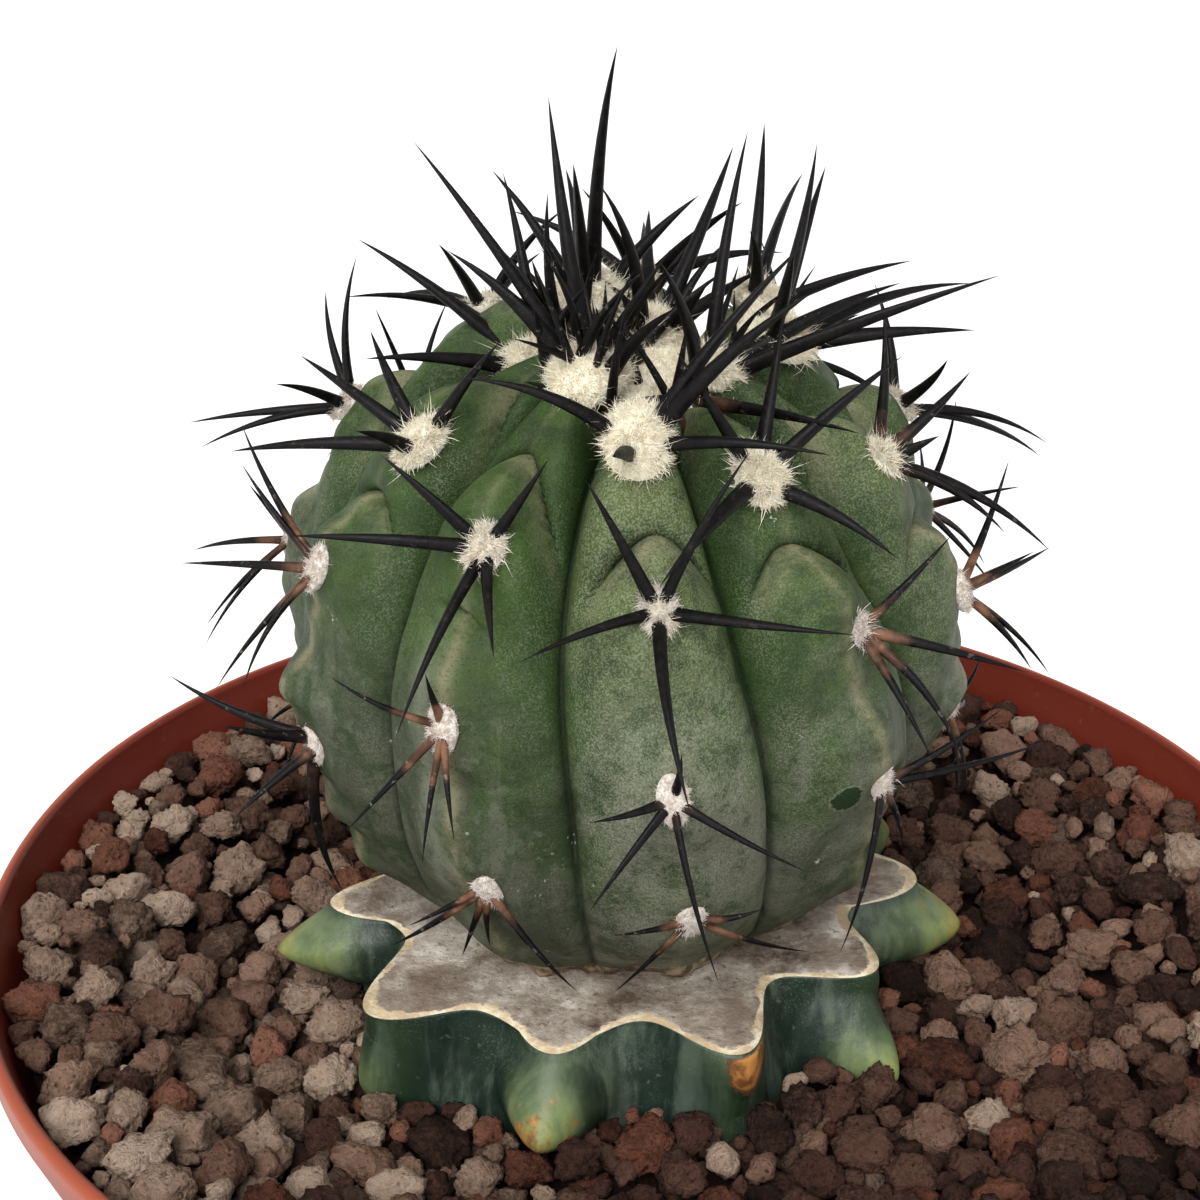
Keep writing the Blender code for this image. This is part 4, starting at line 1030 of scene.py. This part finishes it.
def makeBody():
    perRib, rows = bodyShape["columnsPerRib"], bodyShape["rows"]
    station = np.arange(perRib) / perRib - 0.5
    station = station - 0.60 * np.sin(4 * np.pi * station) / (4 * np.pi)     # closest on crests and grooves
    ribs = (np.arange(bodyShape["ribs"])[:, None] + station).ravel()
    rib, latitude = np.meshgrid(ribs, np.linspace(89.2, -58.0, rows))
    points, out = bodyPoints(rib, latitude)
    below, _, young = tubercleWave(rib, latitude)
    young = young * smoothStep(86.0, 72.0, latitude)
    across = 2.0 * (rib - np.round(rib))
    side = np.abs(across)
    window = np.maximum(0.0, 1.0 - side**2)
    _, _, up = leaningFrame()
    down = unit(-up + out * (out @ up)[..., None])
    chin = bell(below - 0.91, 0.10) * window * young
    points = points + down * (bodyShape["chin"] * chin)[..., None]
    points = points + out * crestWaves(rib, latitude, points)[..., None]
    points, out = points.reshape(-1, 3), out.reshape(-1, 3)
    swell = fractalNoise(points, 55, 2) * bodyShape["swelling"]
    swell += np.array([noise.noise(Vector(p) * 260) for p in points]) * bodyShape["roughness"]
    cork = smoothStep(cutHeight + 0.0018, cutHeight + 0.0004, points[:, 2])
    swell += cork * (0.0004 + 0.0007 * fractalNoise(points, 340))
    pits = [bell(np.linalg.norm(points - areole["place"], axis=1), bodyShape["pitRadius"])
            for areole in areoles]
    points = points + out * (swell - bodyShape["pitDepth"] * np.max(pits, 0))[:, None]
    apex, _ = bodyPoints(0.0, 90.0)
    foot, _ = bodyPoints(0.0, -90.0)
    points = np.vstack((points, apex, foot))
    faces = gridFaces(rows, len(ribs)) + endFaces(rows, len(ribs))
    facing = np.where(np.round(rib) == bodyShape["frontRib"], 0.35, 1.0)     # its edge is the dullest
    edge = bell(side, 0.085) * (0.3 + 0.6 * smoothStep(62.0, 15.0, latitude)) * facing
    # a tan top on each young tubercle just below its crease, partly a painted highlight
    edge += 0.85 * bell(below - 0.12, 0.10) * window * young
    # the crease line and the underside of the tubercle above it, for painted shade
    creaseShade = bell(np.minimum(below, 1 - below), 0.030) + 0.55 * smoothStep(0.74, 1.0, below)
    # the pale strip left of the crest, partly a painted highlight
    paleStripAndHighlight = bell(across + 0.26, 0.15) * smoothStep(38.0, 20.0, latitude) * byRib("paleStripsAndHighlights", rib)
    # how much painted shade each flank gets, left and right of the crest
    toRight = smoothStep(-0.2, 0.2, across)
    flankShade = byRib("leftFlankShade", rib) * (1.0 - toRight) + byRib("rightFlankShade", rib) * toRight
    place, areoleRib, row, above, size = bodyShape["wound"]
    middle, _ = bodyPoints(place, firstLatitude(areoleRib) - bodyShape["areoleStep"] * row + above)
    values = {                           # on the skin, at the apex and at the foot
        "youth": (smoothStep(-40.0, 78.0, latitude), 1.0, 0.0),
        "side": (side, 0.3, 0.3),
        "paleStripAndHighlight": (paleStripAndHighlight, 0.0, 0.0),
        "flankShade": (flankShade * smoothStep(0.22, 0.88, side), 0.0, 0.0),
        "pale": (byRib("paleness", rib) * (1.0 - side**2) + 0.4 * side**2, 0.4, 0.4),
        "edge": (np.clip(edge, 0.0, 1.0), 0.0, 0.0),
        "creaseShade": (np.minimum(creaseShade, 1.0) * window**0.5 * young, 0.0, 0.0),
    }
    attributes = {key: np.append(skin, poles) for key, (skin, *poles) in values.items()}
    attributes["wound"] = np.clip(1.1 - np.linalg.norm(points - middle, axis=1) / size, 0.0, 1.0)
    attributes["graft"] = smoothStep(cutHeight + 0.0026, cutHeight + 0.0002, points[:, 2])
    body = addPiece("scionBody", points, faces, [makeScionSkin()], attributes)
    cutLevel(body, cutHeight - 0.0006)
    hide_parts("scion")


# Cuts the body level where it is grafted, and closes it.
def cutLevel(piece, z):
    work = bmesh.new()
    work.from_mesh(piece.data)
    everything = list(work.verts) + list(work.edges) + list(work.faces)
    bmesh.ops.bisect_plane(work, geom=everything, plane_co=(0, 0, z), plane_no=(0, 0, 1), clear_inner=True)
    bmesh.ops.edgeloop_fill(work, edges=[edge for edge in work.edges if edge.is_boundary])
    work.to_mesh(piece.data)
    work.free()


makeBody()
print("body done,", len(areoles), "areoles")


# Spines

# each spine: clock angle from the line up the rib, lift off the skin in degrees, length in millimetres

# the usual ones, from a latitude upwards
spinePatterns = (
    (66.0, ((-70, 50, 20), (-20, 62, 25), (40, 58, 23), (95, 40, 19), (165, 50, 16))),
    (36.0, ((-42, 30, 14), (38, 32, 14), (-98, 24, 15), (100, 26, 16), (178, 34, 16))),
    (-5.0, ((-35, 26, 12), (36, 26, 12), (-112, 22, 12), (108, 22, 13), (176, 30, 15))),
    (-90.0, ((-104, 22, 9), (84, 24, 8), (-140, 22, 10), (124, 20, 10))),
)

# by rib and by place down the rib, on the side that faces the camera
seenSpines = {
    (0, 0): ((-70, 22, 12), (-98, 26, 15), (-140, 24, 17), (15, 22, 11), (150, 68, 8)),
    (0, 1): ((-60, 22, 16), (-64, 28, 12), (-120, 35, 14), (-178, 22, 14), (165, 20, 12)),
    (0, 2): ((-60, 40, 15), (-10, 60, 9), (145, 72, 10), (180, 6, 18)),
    (1, 0): ((-45, 52, 25), (-85, 45, 25), (-95, 38, 16), (80, 55, 12)),
    (1, 1): ((-65, 25, 11), (29, 22, 9), (-106, 22, 16), (147, 22, 11), (178, 22, 18)),
    (1, 2): ((-65, 24, 10), (-145, 20, 12), (175, 22, 11), (158, 20, 9), (0, 30, 6)),
    (1, 3): ((-115, 28, 8), (-128, 20, 13), (180, 20, 6), (-160, 22, 8), (135, 14, 12)),
    (2, 0): ((-80, 22, 15), (105, 22, 16), (45, 35, 21), (62, 44, 20), (-160, 52, 9)),
    (2, 1): ((-26, 28, 13), (35, 24, 15), (-105, 26, 13), (105, 26, 16), (-179, 32, 18.5)),
    (2, 2): ((-84, 18, 7), (-128, 22, 11), (122, 22, 12), (175, 30, 15.5), (12, 16, 5)),
    (2, 3): ((-75, 8, 7), (75, 8, 6), (-138, 8, 11), (120, 10, 12)),
    (3, 0): ((-20, 25, 12), (33, 28, 14), (77, 28, 16), (158, 22, 13), (-112, 10, 15)),
    (3, 1): ((70, 22, 11), (136, 30, 15), (-167, 24, 12), (-178, 30, 14)),
    (3, 2): ((78, 20, 13), (100, 22, 17), (-145, 12, 16), (178, 18, 7)),
    (4, 0): ((65, 50, 23), (155, 38, 26), (125, 25, 20), (-60, 58, 17), (10, 50, 8)),
    (4, 1): ((35, 36, 12), (100, 45, 11), (-178, 22, 17), (-170, 20, 12), (150, 75, 5)),
    (4, 2): ((30, 30, 13), (115, 35, 13), (172, 22, 15), (178, 20, 12), (100, 52, 8)),
    (5, 0): ((105, 42, 22), (112, 34, 23), (175, 35, 20), (-165, 30, 18), (-50, 52, 16)),
    (5, 1): ((-170, 33, 19), (-162, 38, 12), (-178, 22, 21), (-40, 35, 11), (60, 30, 12)),
    (6, 0): ((130, 56, 22), (155, 42, 21), (-10, 34, 13), (-130, 40, 16)),
    (7, 0): ((-160, 45, 23), (30, 62, 20), (-130, 25, 13), (25, 50, 9), (175, 25, 19), (-60, 60, 8)),
    (8, 0): ((15, 66, 29), (35, 58, 19), (-60, 45, 14), (170, 50, 16), (-150, 40, 17)),
    (9, 0): ((-165, 45, 20), (-100, 52, 19), (-140, 25, 12), (150, 30, 16), (40, 50, 14)),
    (9, 1): ((-70, 47, 13), (-30, 40, 14), (90, 47, 9), (170, 42, 16), (155, 36, 15)),
    (9, 2): ((-145, 58, 14), (135, 25, 14), (150, 30, 12), (20, 38, 7)),
}

# how brown the old spines in sight are, by rib and place
brownSpines = {(0, 0): 0.35, (0, 1): 0.62, (0, 2): 0.50, (1, 2): 1.00, (1, 3): 0.66, (2, 1): 0.10,
               (2, 2): 0.36, (2, 3): 0.86, (3, 1): 0.60, (3, 2): 0.45, (4, 1): 0.45, (4, 2): 0.74}

spineShape = {
    "thickness": (0.00077, 0.0016),  # of old spines and of young ones
    "thickestAreole": (0, 2),
    "thickestFactor": 1.6,
    "rootDepth": 0.0016,
    "bentFrom": 12.5,                # millimetres
    "bend": (-0.09, -0.02),
    "bow": (0.015, 0.070),           # how far the middle stands out, as a share of the length
    "seed": 5,
    "clearOfCut": 0.0010,
    "sides": 10,
    "stations": 14,
    "crownExtras": 46,
    "extraLength": (0.006, 0.016),
    "extraThickness": (0.0009, 0.0013),
}


# A value between a pair of old and young.
def aged(pair, youth):
    return pair[0] + (pair[1] - pair[0]) * youth


# Each spine of an areole, and how thick they are at the root.
def areoleSpines(areole, draw):
    latitude = areole["latitude"]
    thickness = aged(spineShape["thickness"], float(smoothStep(10.0, 76.0, latitude)))
    key = areole["rib"], areole["row"]
    if key in seenSpines:
        if key == spineShape["thickestAreole"]:
            thickness *= spineShape["thickestFactor"]
        return seenSpines[key], thickness
    pattern = next(spines for lowest, spines in spinePatterns if latitude > lowest)
    spines = [(clock + draw.uniform(-10, 10), lift + draw.uniform(-7, 7), length * draw.uniform(0.86, 1.14))
              for clock, lift, length in pattern]
    return spines, thickness


def woolWidth(latitude):
    return bodyShape["woolWidth"] + bodyShape["woolGrowth"] * float(smoothStep(32.0, 78.0, latitude))


# A bent and pointed rod, a little uneven round, whose root lies below the skin.
def addSpine(heap, root, direction, bend, length, thickness, age, draw, outward):
    sides, stations = spineShape["sides"], spineShape["stations"]
    side = unit(np.cross(direction, (0.31, 0.52, 0.79)))
    other = np.cross(direction, side)
    along = np.linspace(0.0, 1.0, stations)
    along = -spineShape["rootDepth"] + (length + spineShape["rootDepth"]) * along
    forward = np.maximum(along, 0.0) / length
    bow = unit(outward - direction * (outward @ direction)) * draw.uniform(*spineShape["bow"])
    bow = (bow + np.cross(direction, bow) * draw.uniform(-0.7, 0.7)) * length
    middle = root + np.outer(along, direction) + np.outer(forward**2, bend)
    middle = middle + np.outer(4.0 * forward * (1.0 - forward), bow)
    radius = thickness / 2 * (1.0 - forward**2) ** 0.92 * (1.0 - 0.26 * forward)
    radius *= 1.0 + 0.14 * bell(along, 0.0012)
    angle = math.tau * np.arange(sides) / sides
    turn = draw.uniform(0, math.tau)
    across = 1.0 + 0.13 * np.cos(2 * (angle + turn)) + 0.07 * np.cos(3 * angle + turn)
    rim = np.cos(angle)[:, None] * side + np.sin(angle)[:, None] * other
    rings = middle[:-1, None, :] + rim[None] * (radius[:-1, None] * across[None])[..., None]
    points = np.vstack((rings.reshape(-1, 3), middle[-1]))
    faces = [face[::-1] for face in gridFaces(stations - 1, sides)]
    tip = len(points) - 1
    last = tip - sides
    faces += [[last + i, last + (i + 1) % sides, tip] for i in range(sides)]
    faces.append(list(range(sides - 1, -1, -1)))
    heap.add(points, faces, along=np.append(np.repeat(forward[:-1], sides), 1.0), age=age)


def makeSpineMaterial():
    look = Shader("blackSpine", 0.5, Specular_IOR_Level=0.15)
    along = look.attribute("along")
    age = look.attribute("age")
    streaks = look.noise(900.0, 3.0, 0.6)
    black = look.mix(look.ramp(streaks, 0.35, 0.7), (0.0018, 0.0015, 0.0016), (0.0066, 0.0052, 0.0050))
    brown = look.mix(look.spots(0.35, 0.65, 500.0, 2.0), (0.052, 0.023, 0.014), (0.180, 0.090, 0.052))
    reach = look.times(look.ramp(along, 0.75, 0.0), age)
    bands = look.plus(reach, look.times(look.noise(330.0, 3.0), 0.42))
    look.colour = look.mix(look.ramp(bands, 0.52, 0.78), black, brown)
    bark = look.spots(0.62, 0.72, 1600.0, 2.0)
    look.paint(look.times(bark, look.times(age, 0.5)), (0.25, 0.20, 0.165))
    roughness = look.ramp(streaks, 0.3, 0.7, 0.40, 0.58)
    return look.finish(roughness, look.bump(look.noise(2600.0, 2.0), 0.00006, 0.6))


def makeSpines():
    draw = random.Random(spineShape["seed"])
    extra = random.Random(spineShape["seed"] + 1)
    heap = Heap()
    lowest = cutHeight + spineShape["clearOfCut"]
    for areole in areoles:
        width = woolWidth(areole["latitude"])
        spines, thickness = areoleSpines(areole, draw)
        for clock, lift, millimetres in spines:
            length = 0.001 * millimetres
            clock, lift = math.radians(clock), math.radians(lift)
            flat = areole["up"] * math.cos(clock) + areole["right"] * math.sin(clock)
            direction = unit(flat * math.cos(lift) + areole["out"] * math.sin(lift))
            root = areole["place"] + flat * width * 0.2
            tipHeight = root[2] + direction[2] * length
            if tipHeight < lowest:
                direction = unit(direction + np.array([0.0, 0.0, (lowest - tipHeight) / length]))
            bend = np.zeros(3)
            if millimetres > spineShape["bentFrom"]:
                bend = areole["out"] * (length * draw.uniform(*spineShape["bend"]))
            usual = 0.10 + 0.75 * float(smoothStep(38.0, -15.0, areole["latitude"]))
            age = brownSpines.get((areole["rib"], areole["row"]), usual) * extra.uniform(0.75, 1.1)
            root = root - areole["out"] * 0.0005
            addSpine(heap, root, direction, bend, length, thickness, age, extra, areole["out"])
    addCrownExtras(heap, extra)
    spines = heap.piece("scionSpines", makeSpineMaterial(), "scion_skin")
    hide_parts("scion")


# Short new spines that come up through the wool of the crown.
def addCrownExtras(heap, draw):
    for _ in range(spineShape["crownExtras"]):
        latitude = 90.0 - 17.0 * math.sqrt(draw.random())
        rib = draw.uniform(0, bodyShape["ribs"])
        place, out = bodyPoints(rib, latitude)
        tilt = np.array([draw.gauss(0, 0.40) for _ in range(3)])
        direction = unit(out + tilt)
        length = draw.uniform(*spineShape["extraLength"])
        thickness = draw.uniform(*spineShape["extraThickness"])
        addSpine(heap, place, direction, np.zeros(3), length, thickness, 0.45, draw, out)


makeSpines()
print("spines done")


# Wool of the areoles

woolShape = {
    # for old areoles and young ones
    "hairs": (900, 4400),
    "longHairs": (30, 560),
    "lengths": ((0.0002, 0.0005), (0.0004, 0.0011)),
    "tall": (1.75, 1.28),            # height over width of a cushion, seen from outside
    "crownHairs": 9000,
    "crownLongHairs": 300,
    "crownWidth": 0.0125,
    "longer": 1.8,                   # the long hairs' length over that of the others
    "hairWidth": 0.00009,
    "scatter": 0.60,                 # how far hairs turn from the cushion's own direction
    "curl": 0.38,
    # cushions that are narrower than their neighbours, by rib and row
    "narrower": {(2, 1): 0.94, (3, 0): 0.86, (3, 1): 0.74, (3, 2): 0.84, (4, 0): 0.68, (4, 1): 0.72,
                 (9, 2): 0.66},
    "seed": 77,
}


def makeWoolMaterial():
    look = Shader("areoleWool", 0.9, Specular_IOR_Level=0.2, Subsurface_Weight=0.25,
                  Subsurface_Scale=0.0012, Subsurface_Radius=(1.0, 0.85, 0.6), Sheen_Weight=0.5,
                  Sheen_Roughness=0.5)
    fresh = look.attribute("fresh")
    tufts = look.noise(1500.0, 3.0, 0.7)
    cream = look.mix(look.ramp(tufts, 0.3, 0.7), (0.84, 0.75, 0.56), (0.97, 0.93, 0.79))
    felt = look.mix(look.ramp(tufts, 0.3, 0.7), (0.50, 0.41, 0.34), (0.85, 0.79, 0.72))
    look.colour = look.mix(look.ramp(fresh, 0.2, 0.75), felt, cream)
    dirt = look.spots(0.66, 0.76, 800.0, 2.0)
    look.paint(dirt, (0.25, 0.16, 0.10), 0.5)
    return look.finish(None, look.bump(tufts, 0.00035, 0.8))


# Each cushion: its middle, directions, width across, height and freshness.
def woolSpots():
    spots = []
    for areole in areoles:
        narrower = woolShape["narrower"].get((areole["rib"], areole["row"]), 1.0)
        width = woolWidth(areole["latitude"]) * narrower
        fresh = float(smoothStep(10.0, 75.0, areole["latitude"]))
        height = width * (0.20 + 0.17 * fresh)
        middle = areole["place"] - areole["out"] * 0.0006
        spots.append((middle, areole["out"], areole["up"], areole["right"], width * 0.86, height, fresh))
    apex, out = bodyPoints(0.0, 90.0)
    right, front, _ = leaningFrame()
    spots.append((apex - out * 0.0004, out, -front, right, woolShape["crownWidth"], 0.0026, 0.9))
    return spots


def makeWool():
    draw = random.Random(woolShape["seed"])
    material = makeWoolMaterial()
    heaps = {"areoleCushions": Heap(), "youngHairs": Heap(), "oldHairs": Heap()}
    directions, ballFaces = ballMesh(3)
    for middle, out, up, right, width, height, fresh in woolSpots():
        shift = Vector([draw.uniform(-9, 9) for _ in range(3)])
        ball = directions * (1.0 + 0.09 * fractalNoise(directions, 2.2, 2, shift))[:, None]
        wide = width / 2
        tall = wide * aged(woolShape["tall"], min(1.0, 2 * fresh))
        points = middle + np.outer(ball[:, 0] * wide, right) + np.outer(ball[:, 1] * tall, up)
        points = points + np.outer(np.where(ball[:, 2] > 0, ball[:, 2] * height, ball[:, 2] * 0.0012), out)
        heaps["areoleCushions"].add(points, ballFaces, fresh=fresh)
        short = aged(woolShape["hairs"], fresh**1.3)
        long = aged(woolShape["longHairs"], fresh)
        if width == woolShape["crownWidth"]:
            short, long = woolShape["crownHairs"], woolShape["crownLongHairs"]
        heap = heaps["youngHairs" if fresh > 0.5 else "oldHairs"]
        cushion = middle, out, up, right, wide, tall, height, fresh
        addHairs(heap, cushion, int(short), 1.0, False, draw)
        addHairs(heap, cushion, int(long), woolShape["longer"], True, draw)
    for name, heap in heaps.items():
        piece = heap.piece(name, material, "scion_skin")
        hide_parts("scion")


# Thin hairs over one cushion: straight ones of one face for the felt, and curled ribbons out of it.
def addHairs(heap, cushion, amount, longer, curled, draw):
    middle, out, up, right, wide, tall, height, fresh = cushion
    generator = np.random.default_rng(draw.randrange(10**6))
    spin = generator.uniform(0, math.tau, amount)
    reach = np.sqrt(generator.random(amount)) * 1.02
    x, y = reach * np.cos(spin), reach * np.sin(spin)
    z = np.sqrt(np.maximum(0.0, 1.0 - reach**2))
    roots = middle + np.outer(x * wide, right) + np.outer(y * tall, up) + np.outer(z * height * 0.92, out)
    lean = np.outer(x, right) + np.outer(y, up) + np.outer(z * 0.55 + 0.16, out)
    direction = unit(unit(lean) + generator.normal(0, woolShape["scatter"], (amount, 3)))
    low, high = aged(np.array(woolShape["lengths"]), fresh) * longer
    lengths = generator.uniform(low, high, amount)[:, None]
    half = unit(np.cross(direction, generator.normal(0, 1, (amount, 3)))) * woolShape["hairWidth"] / 2
    curl = generator.normal(0, woolShape["curl"], (amount, 3)) * lengths
    tip = roots + direction * lengths
    corners, shapes = (roots - half, roots + half, tip), ((0, 1, 2),)
    if curled:
        bend = roots + direction * lengths * 0.55 + curl * 0.15
        corners = roots - half, roots + half, bend - 0.7 * half, bend + 0.7 * half, tip + curl
        shapes = (0, 1, 3, 2), (2, 3, 4)
    first = len(corners) * np.arange(amount)[:, None]
    faces = [face for shape in shapes for face in (first + shape).tolist()]
    heap.add(np.stack(corners, 1).reshape(-1, 3), faces, fresh=fresh)


makeWool()
print("wool done")

shown = [thing for thing in bpy.context.scene.objects if thing.type == "MESH" and not thing.hide_render]
triangles = {thing.name: sum(len(p.vertices) - 2 for p in thing.data.polygons) for thing in shown}
print("triangles", sum(triangles.values()), triangles)
